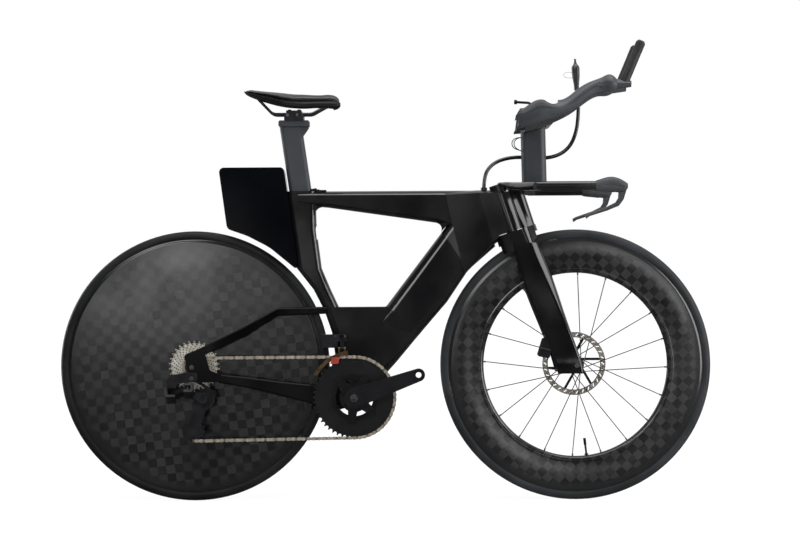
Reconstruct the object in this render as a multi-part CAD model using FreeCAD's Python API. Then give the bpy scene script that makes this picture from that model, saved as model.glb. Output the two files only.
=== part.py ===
import FreeCAD, Part
import os
from math import asin, atan2, cos, degrees, hypot, pi, radians, sin, sqrt, tan

V = FreeCAD.Vector
Y_AXIS = V(0, 1, 0)

# Driving dimensions in millimetres and degrees.
# +X is forward, +Y the rider's left, +Z up; the origin is on the ground midway between the axles.
WHEEL_RADIUS = 339.0
WHEELBASE = 956.0
BB_AHEAD = 402.5
BB_DROP = 78.0
HEAD_ANGLE = 72.0
FORK_RAKE = 46.0
RUNNING_CLEARANCE = 0.05
SEAT_CLEARANCE = 0.1
MOVING_GAP = 0.5

# Frame: edge points are (forward, up) from the rear axle or from the front axle
TOP_LINE = 438.0
REAR_WHEEL_GAP = 355.0
FRONT_WHEEL_GAP = 358.0
SEAT_TUBE_HALF_WIDTH = 17.5
TOP_TUBE_HALF_WIDTH = 20.5
DOWN_TUBE_HALF_WIDTH = 25.5
HEAD_HALF_WIDTH = 31.0
HEAD_RISE = 0.8
WEB_HALF_WIDTHS = (22.5, 25.0, 27.0, 29.0)
HEAD_TUBE_RADIUS = 31.5
HEAD_TUBE_LENGTH = 99.0
HEAD_TOP_DROP = 9.0
CROWN_NOTCH_RADIUS = 45.0
STEM_RADIUS = 20.0
BB_SHELL_RADIUS = 37.0
BB_SHELL_WIDTH = 86.0
BB_BORE_RADIUS = 21.0
CORNER_RADIUS = 18.0

# Stays: (forward, upper edge, lower edge, y, half width) from the rear axle
CHAINSTAY_STATIONS = [
    (367, -44, -100, 26, 9.0), (328, -45, -99, 28.2, 8.2), (300, -46, -96, 32, 7.6),
    (213, -36, -72, 47, 7.2), (138, -25, -53, 60, 6.6), (66, -17, -39, 71.5, 5.4),
]
SEATSTAY_STATIONS = [
    (336, 147, 130, 14, 4.6), (306, 147, 129, 21.5, 5.0), (211, 146, 125, 25, 5.2),
    (131, 102, 76, 47, 5.0), (50, 62, 38, 66, 4.4), (12, 44, 24, 71.4, 3.4),
]

# Bearings and axles
STEERER_RADIUS = 14.3
HEADSET_RADIUS = 20.9
LOWER_HEADSET_RADIUS = 25.9
HEADSET_HEIGHT = 7.0
CRANK_AXLE_RADIUS = 12.0
BB_BEARING_WIDTH = 11.0
THRU_AXLE_RADIUS = 6.0
AXLE_STAND_BORE_RADIUS = 4.0
AXLE_STAND_BORE_DEPTH = 30.0
AXLE_HEAD_RADIUS = 9.0
AXLE_HEAD_LENGTH = 3.0
REAR_HUB_HALF = 71.0
FRONT_HUB_HALF = 50.0
DROPOUT_THICKNESS = 6.0

# Seat post and saddle
POST_DEPTH = 56.0
POST_HALF_WIDTH = 12.5
POST_TILT = 8.2
POST_INSERT = 92.0
SOCKET_DEPTH = 126.0
POST_AHEAD = 267.5
CLAMP_AHEAD = 253.0
COVER_LENGTH = 36.0
COVER_HALF_WIDTH = 13.0
COVER_HEIGHT = 3.0
RAIL_RADIUS = 3.5
RAIL_HALF_SPACING = 22.0
SADDLE_RISE = 193.0
CRADLE_HEIGHT = 15.0
POST_HEAD_HEIGHT = 15.0
CLAMP_LENGTH = 48.0

# Saddle: (forward of the rear axle, top and underside above the rails, half width)
SADDLE_STATIONS = [
    (130, 61.5, 53.0, 40.0), (141, 61.5, 46.0, 57.0), (172, 58.0, 34.0, 66.0), (211, 55.0, 20.0, 60.0),
    (254, 51.5, 11.0, 39.0), (300, 51.0, 11.0, 26.0), (340, 52.0, 11.0, 23.0), (361, 48.0, 13.0, 18.0),
    (369, 38.5, 20.0, 11.0),
]
SADDLE_PAD_DEPTH = 0.62
SADDLE_SHELL_START = 0.3
SADDLE_SHELL_TRIM = 1.2
# Hollow under the shell: (forward of the rear axle, roof above the rails, half width)
SADDLE_HOLLOW = [
    (176, 37.0, 52.0), (211, 31.0, 50.0), (254, 25.5, 33.5), (300, 23.0, 21.0), (334, 22.0, 17.5), (352, 24.0, 14.0),
]

# Storage box
BOX_HALF_WIDTH = 23.0
BOX_WALL = 2.5
BOX_WHEEL_GAP = 353.0
DOOR_THICKNESS = 3.0
DOOR_GAP = 0.4
BARREL_RADIUS = 3.2
BARREL_PIN_RADIUS = 1.3

# Wheels
TYRE_HALF_WIDTH = 14.0
TYRE_WALL = 3.0
TYRE_HEIGHT = 21.0
RIM_HALF_WIDTH = 13.4
RIM_OUTER = WHEEL_RADIUS - TYRE_HEIGHT
RIM_DEPTH = 88.0
RIM_WALL = 2.2
DISC_HALF_WIDTH = 12.0
SPOKES = 20
SPOKE_WIDTH = 2.3
SPOKE_THICKNESS = 1.0
NIPPLE_RADIUS = 2.0
FRONT_FLANGE_RADIUS = 20.0
FRONT_FLANGE_HALF = 27.0
REAR_HUB_RADIUS = 24.0
ROTOR_RADIUS = 80.0
ROTOR_TRACK = 14.0
ROTOR_THICKNESS = 1.8
FRONT_ROTOR_Y = 38.0
REAR_ROTOR_Y = 55.0
ROTOR_SLOTS = 30
ROTOR_ARMS = 6
CALIPER_SLOT = 4.4
VALVE_RADIUS = 2.6
VALVE_STICK_OUT = 43.0
VALVE_ANGLE = -83.1

# Drive train
PITCH = 12.7
ROLLER_RADIUS = 3.87
TOOTH_SEAT_GAP = 0.12
TOOTH_HEIGHT = 2.8
TOOTH_TIP_HALF = 0.9
TOOTH_THICKNESS = 1.6
INNER_PLATE = (1.15, 1.75)
OUTER_PLATE = (1.85, 2.45)
LINK_HALF_HEIGHT = 4.2
CHAIN_PIN_RADIUS = 1.8
CHAIN_PIN_HALF = 2.6
CHAIN_BORE_GAP = 0.15
BIG_RING_TEETH = 50
SMALL_RING_TEETH = 36
RING_Y = -46.0
RING_SPACING = 6.5
RING_INNER_RADIUS = 50.0
COGS = (11, 12, 13, 14, 15, 16, 17, 19, 21, 24, 27, 30)
COG_Y = -60.0
COG_SPACING = 3.6
FREEHUB_RADIUS = 17.0
CRANK_LENGTH = 170.0
CRANK_ANGLE = 19.4
CRANK_INNER_Y = 57.0
CRANK_OUTER_Y = 71.0
PEDAL_THREAD_RADIUS = 7.14
CRANK_BOSS_RADIUS = 25.0
CRANK_TIP_RADIUS = 16.0
SPIDER_BOLT_RADIUS = 55.0
SPIDER_ARMS = (-97.0, -39.0, 60.0, 131.0)
RING_BOLT_RADIUS = 3.6

# Rear derailleur
PULLEY_TEETH = 13
GUIDE_PULLEY = (26.0, -77.0)
CAGE_LENGTH = 83.5
CAGE_ANGLE_GUESS = -106.7
CAGE_PLATE = 1.2
CAGE_HALF_GAP = 3.3
LINK_TILT = 35.0
LINK_LENGTH = 48.0
LINK_REST = 30.0
LINK_SPACING = 15.0
LINK_RADIUS = 5.5
LINK_HEIGHT = 11.0
LINK_PIN_RADIUS = 2.2
LINK_PIVOT = (-50.0, -70.0, -67.0)
CAGE_PIVOT_RADIUS = 6.0

# Front derailleur
FD_PIVOT = (372.0, -44.0, 70.0)
FD_LINK_LENGTH = 26.0
FD_LINK_WIDTH = 9.0
FD_PIN_RADIUS = 2.0
FD_EYE_RADIUS = 4.5
FD_HOUSING_GAP = 6.0
FD_HOUSING_DROP = 24.0
FD_PLATE = 1.2
FD_HALF_GAP = 4.2
FD_CAGE_RADII = (107.5, 114.5)
FD_CAGE_ANGLES = (98.0, 150.0)

# Cockpit: points are (forward, up) from the front axle
GRIP_Y = 200.0
GRIP_RADIUS = 10.5
GRIP_END = 50.0
GRIP_RISE = 3.5
BAR_CENTRE_RISE = 20.0
RISER_HALF_WIDTH = 17.0
RISER_REAR = -131.5
RISER_FRONT = -69.0
RISER_LEAN = -3.0
BRACKET_HALF_WIDTH = 84.0
RISER_HEIGHT = 122.0
CUP_Y = 62.0
UPRIGHT_RADIUS = 11.7
UPRIGHT_FOOT = (119.0, 120.0)
UPRIGHT_ANGLE = 67.0
UPRIGHT_LENGTH = 109.0
UPRIGHT_SEAT = 4.0
BUTTON_RADIUS = 10.0
BUTTON_LENGTH = 9.0
BUTTON_TRAVEL = 1.5
BUTTON_ROUNDING = 3.5
LEVER_FORWARD = 95.0
LEVER_DROP = 10.5
LEVER_PIN_RADIUS = 2.5
LEVER_HALF_WIDTH = 5.5
LEVER_BOSS_RADIUS = 7.0

# Hydration hose: points chosen along its route, from the front axle and the top line
HOSE_RADIUS = 4.75
HOSE_POINTS = [
    (-227, 0, 7), (-226, 2, 33), (-214, 9, 59), (-186, 20, 78), (-142, 29, 86), (-92, 31, 81),
    (-44, 27, 85), (-10, 20, 107), (7, 14, 146), (12, 11, 190), (12, 10, 227), (8, 9, 252),
]
PORT_RADIUS = 8.0
BITE_RADIUS = 10.0
BITE_LENGTH = 78.0
WIRE_RADIUS = 1.2
STRUT_RADIUS = 3.2

# Worked-out places
RAIL_HEIGHT = TOP_LINE + SADDLE_RISE
GRIP_LINE = TOP_LINE + GRIP_RISE
BAR_CENTRE_TOP = TOP_LINE + BAR_CENTRE_RISE
BRACKET_HEIGHT = BAR_CENTRE_TOP + RISER_HEIGHT
LEVER_PIVOT = (LEVER_FORWARD, GRIP_LINE - LEVER_DROP)
POST_HEAD_LOW = RAIL_HEIGHT - CRADLE_HEIGHT - POST_HEAD_HEIGHT
REAR_X = -WHEELBASE / 2
FRONT_X = WHEELBASE / 2
BB_X = REAR_X + BB_AHEAD
BB_Z = WHEEL_RADIUS - BB_DROP
HOSE_ROUTE = [(FRONT_X + x, y, WHEEL_RADIUS + TOP_LINE + z) for x, y, z in HOSE_POINTS]
STEER_LEAN = radians(90 - HEAD_ANGLE)
STEER_FOOT = V(FRONT_X - FORK_RAKE * cos(STEER_LEAN), 0, WHEEL_RADIUS - FORK_RAKE * sin(STEER_LEAN))
STEER_MATRIX = FreeCAD.Placement(STEER_FOOT, FreeCAD.Rotation(Y_AXIS, HEAD_ANGLE - 90)).toMatrix()
HEAD_TOP = (WHEEL_RADIUS + TOP_LINE - HEAD_TOP_DROP - STEER_FOOT.z) / cos(STEER_LEAN)
CROWN_HEIGHT = HEAD_TOP - HEAD_TUBE_LENGTH


def rear(forward, up):
    """Side-view point measured from the rear axle."""
    return (REAR_X + forward, WHEEL_RADIUS + up)


def front(forward, up):
    """Side-view point measured from the front axle."""
    return (FRONT_X + forward, WHEEL_RADIUS + up)


def on_rear_arc(up, radius=REAR_WHEEL_GAP):
    """Point ahead of the rear wheel on the clearance arc about its axle."""
    return rear(sqrt(radius ** 2 - up ** 2), up)


def on_front_arc(up):
    """Point behind the front wheel on the clearance arc about its axle."""
    return front(-sqrt(FRONT_WHEEL_GAP ** 2 - up ** 2), up)


def at(point, y):
    return V(point[0], y, point[1])


def along(start, end, distance):
    """Point on the way from start to end, a distance on."""
    span = hypot(end[0] - start[0], end[1] - start[1])
    share = distance / span
    return (start[0] + (end[0] - start[0]) * share, start[1] + (end[1] - start[1]) * share)


def section(first, last, half_width, first_nose, last_nose, y=0.0):
    """Closed outline of a flattened tube across from one edge point to the other, both edges rounded."""
    a = along(first, last, first_nose)
    b = along(last, first, last_nose)
    low = y - half_width
    high = y + half_width
    edges = [
        Part.Arc(at(a, high), at(first, y), at(a, low)).toShape(),
        Part.LineSegment(at(a, low), at(b, low)).toShape(),
        Part.Arc(at(b, low), at(last, y), at(b, high)).toShape(),
        Part.LineSegment(at(b, high), at(a, high)).toShape(),
    ]
    return Part.Wire(edges)


def tube(stations, ruled=True, nose=0.85):
    """Flattened tube through stations of (first edge, last edge, half width, y)."""
    wires = [section(a, b, w, w * nose, w * nose, y) for a, b, w, y in stations]
    return Part.makeLoft(wires, True, ruled)


def outline(points, radii):
    """Closed side-view outline with its corners rounded."""
    edges = []
    count = len(points)
    starts = []
    ends = []
    for i, corner in enumerate(points):
        before = points[i - 1]
        after = points[(i + 1) % count]
        to_before = V(before[0] - corner[0], 0, before[1] - corner[1]).normalize()
        to_after = V(after[0] - corner[0], 0, after[1] - corner[1]).normalize()
        half = to_before.getAngle(to_after) / 2
        here = at(corner, 0)
        reach = radii[i] / tan(half)
        start = here + to_before * reach
        end = here + to_after * reach
        starts.append(start)
        ends.append(end)
        if radii[i] > 0:
            middle = here + (to_before + to_after).normalize() * (radii[i] / sin(half) - radii[i])
            edges.append(Part.Arc(start, middle, end).toShape())
        edges.append(None)
    sides = []
    for i in range(count):
        sides.append(Part.LineSegment(ends[i], starts[(i + 1) % count]).toShape())
    filled = []
    side = 0
    for edge in edges:
        if edge is None:
            filled.append(sides[side])
            side += 1
        else:
            filled.append(edge)
    return Part.Wire(filled)


def slab(points, radii, low, high):
    """Plate with a rounded side-view outline between two y values."""
    face = Part.Face(outline(points, radii))
    face.translate(V(0, low, 0))
    return face.extrude(V(0, high - low, 0))


def cylinder_y(radius, centre, low, high):
    return Part.makeCylinder(radius, high - low, at(centre, low), Y_AXIS)


def ring_y(outer, inner, centre, low, high):
    return cylinder_y(outer, centre, low, high).cut(cylinder_y(inner, centre, low, high))


def block(x, y, z):
    """Box between pairs of x, y and z values."""
    return Part.makeBox(x[1] - x[0], y[1] - y[0], z[1] - z[0], V(x[0], y[0], z[0]))


def mirrored(shape):
    return shape.mirror(V(0, 0, 0), Y_AXIS)


def steered(shape):
    """Carry a shape made about the steering axis to its place."""
    return shape.transformed(STEER_MATRIX)


def steer_cylinder(radius, low, high):
    return steered(Part.makeCylinder(radius, high - low, V(0, 0, low)))


def steer_ring(outer, inner, low, high):
    return steer_cylinder(outer, low, high).cut(steer_cylinder(inner, low, high))


def steer_prism(points, low, high):
    """Prism along the steering axis from a plan outline of (start, middle, end) arcs and single points."""
    edges = []
    last = None
    first = None
    for item in points:
        spots = [V(p[0], p[1], low) for p in item]
        if last is not None:
            edges.append(Part.LineSegment(last, spots[0]).toShape())
        if len(spots) == 3:
            edges.append(Part.Arc(*spots).toShape())
        first = first or spots[0]
        last = spots[-1]
    edges.append(Part.LineSegment(last, first).toShape())
    return steered(Part.Face(Part.Wire(edges)).extrude(V(0, 0, high - low)))


def rod(start, end, radius):
    span = end - start
    return Part.makeCylinder(radius, span.Length, start, span)


def bent_tube(points, radius, name, bend=None):
    """Round tube on straight runs joined by tangent arcs as large as the runs allow."""
    spots = [V(*p) for p in points]
    edges = []
    last = spots[0]
    radii = []
    for i in range(1, len(spots) - 1):
        back = spots[i - 1] - spots[i]
        ahead = spots[i + 1] - spots[i]
        half_turn = (pi - back.getAngle(ahead)) / 2
        reach = 0.45 * min(back.Length, ahead.Length)
        if bend:
            reach = bend * tan(half_turn)
        arc_radius = reach / tan(half_turn)
        back.normalize()
        ahead.normalize()
        start = spots[i] + back * reach
        end = spots[i] + ahead * reach
        bisector = (back + ahead).normalize()
        middle = spots[i] + bisector * (arc_radius / cos(half_turn) - arc_radius)
        edges.append(Part.LineSegment(last, start).toShape())
        edges.append(Part.Arc(start, middle, end).toShape())
        last = end
        radii.append(arc_radius)
    edges.append(Part.LineSegment(last, spots[-1]).toShape())
    path = Part.Wire(edges)
    circle = Part.Circle(spots[0], spots[1] - spots[0], radius).toShape()
    solid = path.makePipeShell([Part.Wire([circle])], True, False)
    length = path.Length
    expected = pi * radius ** 2 * length
    print(name, "length %.0f" % length, "least radius %.0f" % min(radii),
          "volume share %.4f" % (solid.Volume / expected))
    return solid


def save(name, *solids):
    """Write a node as one STEP file of separate solids."""
    found = []
    for solid in solids:
        found.extend(solid.Solids)
    shape = found[0]
    if len(found) > 1:
        shape = Part.makeCompound(found)
    shape.exportStep("parts/%s.step" % name)


# Frame

def corner_web(corner, one_way, other_way, radius, half_width):
    """Fill an inside corner out to a fillet arc."""
    here = at(corner, -half_width)
    one = at(one_way, -half_width) - here
    other = at(other_way, -half_width) - here
    half = one.getAngle(other) / 2
    reach = radius / tan(half)
    start = here + one.normalize() * reach
    end = here + other.normalize() * reach
    bisector = (one + other).normalize()
    middle = here + bisector * (radius / sin(half) - radius)
    sunk = here - bisector * (radius / 2)
    edges = [
        Part.Arc(start, middle, end).toShape(),
        Part.LineSegment(end, sunk).toShape(),
        Part.LineSegment(sunk, start).toShape(),
    ]
    return Part.Face(Part.Wire(edges)).extrude(V(0, 2 * half_width, 0))


def main_frame():
    """Front triangle, with its sockets for the post, steerer and crank bearings."""
    axis_top = steered(Part.Vertex(0, 0, HEAD_TOP)).Point
    axis_low = steered(Part.Vertex(0, 0, CROWN_HEIGHT)).Point
    seat = SEAT_TUBE_HALF_WIDTH
    top = TOP_TUBE_HALF_WIDTH
    down = DOWN_TUBE_HALF_WIDTH
    webs = WEB_HALF_WIDTHS
    tube_start = rear(338, TOP_LINE - 41.5)
    seat_tube = tube([
        (rear(230.5, TOP_LINE), rear(306, TOP_LINE), seat, 0),
        (rear(244, TOP_LINE - 97), rear(308, TOP_LINE - 97), seat, 0),
        (on_rear_arc(244), rear(320.5, 244), seat, 0),
        (on_rear_arc(191), rear(342.7, 191), seat + 0.7, 0),
        (on_rear_arc(130), rear(371, 130), seat + 1.5, 0),
    ])
    web = tube([
        (on_rear_arc(147), front(-333, 147), webs[0], 0),
        (on_rear_arc(82), front(-387, 82), webs[1], 0),
        (on_rear_arc(11), front(-446, 11), webs[2], 0),
        (on_rear_arc(-58), front(-508, -58), webs[3], 0),
    ])
    top_tube = tube([
        (rear(263, TOP_LINE), rear(263, TOP_LINE - 35), top, 0),
        (rear(338, TOP_LINE), tube_start, top, 0),
        (front(-338, TOP_LINE), front(-338, TOP_LINE - 82), top + 1, 0),
        (front(-228, TOP_LINE), front(-228, TOP_LINE - 127), top + 2.5, 0),
    ], nose=0.5)
    down_tube = tube([
        (front(-288, TOP_LINE - 45), on_front_arc(298), down - 4, 0),
        (front(-333, TOP_LINE - 104), on_front_arc(238), down - 1, 0),
        (front(-403, 242), on_front_arc(158), down, 0),
        (front(-475, 147), front(-378, 92), down + 0.5, 0),
        (front(-518, 91), front(-428, 33), down - 2.5, 0),
    ])
    head_block = tube([
        (front(-326, TOP_LINE - 4), on_front_arc(227), HEAD_HALF_WIDTH - 5.5, 0),
        (front(-243, TOP_LINE + HEAD_RISE), front(-203, TOP_LINE - 137), HEAD_HALF_WIDTH - 2.5, 0),
        ((axis_top.x, WHEEL_RADIUS + TOP_LINE + HEAD_RISE), (axis_low.x, axis_low.z - 2), HEAD_HALF_WIDTH, 0),
    ], nose=0.3)
    shell = cylinder_y(BB_SHELL_RADIUS, (BB_X, BB_Z), -BB_SHELL_WIDTH / 2, BB_SHELL_WIDTH / 2)
    corners = [
        corner_web(rear(302, TOP_LINE - 38), rear(308, TOP_LINE - 97), tube_start, CORNER_RADIUS, seat - 3),
        corner_web(front(-322, TOP_LINE - 85), tube_start, front(-403, 242), CORNER_RADIUS - 3, top - 3),
        corner_web(front(-477, 145), front(-403, 242), rear(357, 146), CORNER_RADIUS / 2, seat - 3),
        corner_web(rear(357, 146), front(-477, 145), rear(342.7, 191), CORNER_RADIUS / 2, seat - 3),
    ]
    body = web.multiFuse([seat_tube, top_tube, down_tube, head_block, shell,
                          steer_cylinder(HEAD_TUBE_RADIUS, CROWN_HEIGHT, HEAD_TOP)] + corners)
    below_crown = steer_cylinder(CROWN_NOTCH_RADIUS, CROWN_HEIGHT - 140, CROWN_HEIGHT)
    cuts = [
        below_crown,
        steer_cylinder(STEM_RADIUS + 1.5, HEAD_TOP - 1, HEAD_TOP + 60),
        steer_cylinder(STEERER_RADIUS + 2, CROWN_HEIGHT - 1, HEAD_TOP + 1),
        steer_cylinder(HEADSET_RADIUS, HEAD_TOP - HEADSET_HEIGHT, HEAD_TOP + 1),
        steer_cylinder(LOWER_HEADSET_RADIUS, CROWN_HEIGHT - 1, CROWN_HEIGHT + HEADSET_HEIGHT),
        cylinder_y(BB_BORE_RADIUS, (BB_X, BB_Z), -BB_SHELL_WIDTH, BB_SHELL_WIDTH),
        post_solid(-SOCKET_DEPTH, 60, SEAT_CLEARANCE),
        wedge_block(SEAT_CLEARANCE),
        Part.makeCylinder(PORT_RADIUS - 2, 30, V(HOSE_ROUTE[0][0], 0, WHEEL_RADIUS + TOP_LINE - 20)),
    ]
    return cut_all(body, cuts)


def cut_all(body, cuts):
    for tool in cuts:
        body = body.cut(tool)
    return body


def post_matrix():
    """Seat post axis: its origin is where the post's middle crosses the top line, and Z runs up the post."""
    foot = at(rear(POST_AHEAD, TOP_LINE), 0)
    return FreeCAD.Placement(foot, FreeCAD.Rotation(Y_AXIS, -POST_TILT)).toMatrix()


def post_solid(low, high, extra=0.0):
    """Aero post between two distances along its axis, grown all round by extra."""
    half = POST_DEPTH / 2 + extra
    wide = POST_HALF_WIDTH + extra
    return Part.Face(post_outline(half, wide, low)).extrude(V(0, 0, high - low)).transformed(post_matrix())


def post_outline(half, wide, z):
    """Plan outline of the post, nose and tail rounded."""
    nose = wide * 0.8
    spots = [V(half - nose, wide, z), V(half, 0, z), V(half - nose, -wide, z),
             V(nose - half, -wide, z), V(-half, 0, z), V(nose - half, wide, z)]
    return Part.Wire([
        Part.Arc(spots[0], spots[1], spots[2]).toShape(),
        Part.LineSegment(spots[2], spots[3]).toShape(),
        Part.Arc(spots[3], spots[4], spots[5]).toShape(),
        Part.LineSegment(spots[5], spots[0]).toShape(),
    ])


def wedge_block(extra=0.0):
    """Clamp wedge between the front of the post and the seat tube."""
    near = POST_DEPTH / 2 + MOVING_GAP
    wedge = block((near - 4, near + 13 + extra), (-8 - extra, 8 + extra), (-44 - extra, 2 + extra))
    return wedge.transformed(post_matrix())


def seat_clamp():
    """Wedge with its cover plate on the top tube and its bolt recess."""
    wedge = wedge_block()
    near = POST_DEPTH / 2 + MOVING_GAP
    start, floor = rear(POST_AHEAD + near + 1, TOP_LINE)
    cover = block((start, start + COVER_LENGTH), (-COVER_HALF_WIDTH, COVER_HALF_WIDTH), (floor, floor + COVER_HEIGHT))
    return wedge.fuse(cover).cut(post_solid(-SOCKET_DEPTH, 60, MOVING_GAP))


def chainstay(side, frame_body):
    """One chainstay with its dropout; side is -1 on the drive side."""
    stations = []
    for forward, top, low, y, half in CHAINSTAY_STATIONS:
        stations.append((rear(forward, top), rear(forward, low), half, side * y))
    stay = tube(stations, nose=0.8)
    inner = REAR_HUB_HALF
    if side < 0:
        corners = [rear(-20, 31), rear(18, 46), rear(32, 38), rear(45, -8), rear(78, -20), rear(64, -37), rear(2, -38),
                   rear(-8, -13)]
        plate = mirrored(slab(corners, [10, 6, 8, 10, 6, 6, 8, 10], inner, inner + DROPOUT_THICKNESS))
    else:
        corners = [rear(-17, 32), rear(36, 38), rear(78, -18), rear(64, -37), rear(2, -38), rear(-8, -13)]
        plate = slab(corners, [10, 10, 8, 6, 8, 10], inner, inner + DROPOUT_THICKNESS)
    solid = stay.cut(frame_body).fuse(plate)
    hole = cylinder_y(THRU_AXLE_RADIUS + SEAT_CLEARANCE, rear(0, 0), -inner - 20, inner + 20)
    return solid.cut(hole)


def seatstay(side, frame_body, lower_stay):
    """One dropped seatstay from the seat tube to the dropout."""
    stations = []
    for forward, top, low, y, half in SEATSTAY_STATIONS:
        stations.append((rear(forward, top), rear(forward, low), half, side * y))
    return tube(stations, nose=0.8).cut(frame_body).cut(lower_stay)


def thru_axle(half, centre, clamp):
    """Hollow-ended through axle with a head on the left."""
    reach = half + clamp
    axle = cylinder_y(THRU_AXLE_RADIUS, centre, -reach, reach)
    head = cylinder_y(AXLE_HEAD_RADIUS, centre, reach, reach + AXLE_HEAD_LENGTH)
    bore = cylinder_y(AXLE_STAND_BORE_RADIUS, centre, reach + AXLE_HEAD_LENGTH - AXLE_STAND_BORE_DEPTH, reach + 50)
    return axle.fuse(head).cut(bore)


def bearings():
    """Crank and steering bearing rings."""
    half = BB_SHELL_WIDTH / 2
    inner = CRANK_AXLE_RADIUS + RUNNING_CLEARANCE
    rings = []
    for low in (-half, half - BB_BEARING_WIDTH):
        rings.append(ring_y(BB_BORE_RADIUS, inner, (BB_X, BB_Z), low, low + BB_BEARING_WIDTH))
    steer_inner = STEERER_RADIUS + RUNNING_CLEARANCE
    rings.append(steer_ring(HEADSET_RADIUS, steer_inner, HEAD_TOP - HEADSET_HEIGHT, HEAD_TOP))
    rings.append(steer_ring(LOWER_HEADSET_RADIUS, steer_inner, CROWN_HEIGHT, CROWN_HEIGHT + HEADSET_HEIGHT))
    return rings


# Storage box behind the seat tube

def box_corners(inset=0.0):
    """Corner points and radii of the box outline, moved in by inset."""
    bottom = on_rear_arc(243, BOX_WHEEL_GAP)
    corners = [
        rear(63 + inset, TOP_LINE + 60 - inset), rear(225 - inset, TOP_LINE + 60 - inset),
        rear(229 - inset, TOP_LINE + 46),
        rear(260 - inset, 262 + inset), (bottom[0] - inset, bottom[1] + 1.4 * inset),
        rear(190, 297.5 + 1.2 * inset), rear(134, 326.6 + 1.1 * inset), rear(84 + inset, 344 + inset),
    ]
    return corners, [12, 10, 6, 30, 3, 120, 120, 16]


def box_hinge():
    """Ends of the door hinge line, near the box's rear edge on the left side."""
    y = BOX_HALF_WIDTH - DOOR_THICKNESS / 2
    top = at(rear(72.0, 478), y)
    low = at(rear(87.5, 366), y)
    return top, low


def knuckle(start, end, radius=BARREL_RADIUS):
    """One barrel of the hinge between two shares of its length."""
    top, low = box_hinge()
    span = low - top
    return rod(top + span * start, top + span * end, radius)


def hinge_strip(low, high):
    """Part of the box outline behind the hinge line, between two distances from the middle."""
    corners, radii = box_corners()
    top, foot = box_hinge()
    span = foot - top
    ends = [top - span, foot + span]
    behind = [(ends[0].x, ends[0].z), (ends[1].x, ends[1].z), (ends[1].x - 90, ends[1].z), (ends[0].x - 90, ends[0].z)]
    return slab(corners, radii, low, high).common(slab(behind, [1, 1, 1, 1], low, high))


def storage_box(frame_body):
    """Shell open on the left, with hinge barrels and pin, standing on the seat tube."""
    corners, radii = box_corners()
    rim = BOX_HALF_WIDTH - DOOR_THICKNESS - DOOR_GAP
    shell = slab(corners, radii, -BOX_HALF_WIDTH, rim)
    small, small_radii = box_corners(BOX_WALL)
    shell = shell.cut(slab(small, small_radii, BOX_WALL - BOX_HALF_WIDTH, rim + 1))
    feet = [block((rear(x, 0)[0], rear(x + 14, 0)[0]), (-7, 7), (WHEEL_RADIUS + z, WHEEL_RADIUS + z + 26))
            for x, z in ((222, 402), (238, 290))]
    shell = shell.multiFuse(feet + [hinge_strip(rim, BOX_HALF_WIDTH)]).cut(frame_body)
    shell = max(shell.Solids, key=lambda s: s.Volume)
    swing_room = knuckle(0.29, 0.71, BARREL_RADIUS + MOVING_GAP)
    shell = shell.cut(swing_room).multiFuse([knuckle(0.0, 0.29), knuckle(0.71, 1.0)])
    pin = knuckle(0.02, 0.98, BARREL_PIN_RADIUS)
    return shell.fuse(pin)


def storage_door(frame_body):
    """Left-hand door with its middle hinge barrel."""
    corners, radii = box_corners()
    inside = BOX_HALF_WIDTH - DOOR_THICKNESS
    door = slab(corners, radii, inside, BOX_HALF_WIDTH).cut(hinge_strip(inside, BOX_HALF_WIDTH)).cut(frame_body)
    room = BARREL_RADIUS + MOVING_GAP
    door = door.cut(knuckle(-1.0, 0.31, room)).cut(knuckle(0.69, 2.0, room))
    door = door.fuse(knuckle(0.305, 0.695))
    return door.cut(knuckle(0.0, 1.0, BARREL_PIN_RADIUS + RUNNING_CLEARANCE))


# Seat post, clamp and saddle

def seat_post():
    """Aero post with a flat head under the saddle clamp."""
    low = POST_HEAD_LOW
    top = low + POST_HEAD_HEIGHT
    post = post_solid(-POST_INSERT, low - TOP_LINE + 8)
    head = slab([rear(214, low), rear(291, low), rear(291, top - 3), rear(289, top), rear(217, top),
                 rear(214, top - 3)],
                [2, 2, 2, 2, 2, 2], -19, 19)
    flare_half = POST_HALF_WIDTH * 0.9
    corners = [rear(236, low + 4), rear(290, low + 4), rear(289, low - 4), rear(275, low - 24), rear(262, low - 44),
               rear(240, low - 44)]
    flare = slab(corners, [1, 1, 6, 30, 4, 1], -flare_half, flare_half)
    return post.multiFuse([head, flare])


def saddle_rail(side, extra=0.0):
    """Round rail bent up at both ends into the shell, its front end drawn in under the nose."""
    wide = RAIL_HALF_SPACING
    route = [(164, wide, 38), (200, wide, 0), (298, wide, 0), (324, wide - 7, 14), (349, 9, 26)]
    points = [(rear(x, 0)[0], side * y, rear(0, RAIL_HEIGHT + z)[1]) for x, y, z in route]
    return bent_tube(points, RAIL_RADIUS + extra, "saddle rail", 24.0)


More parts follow.
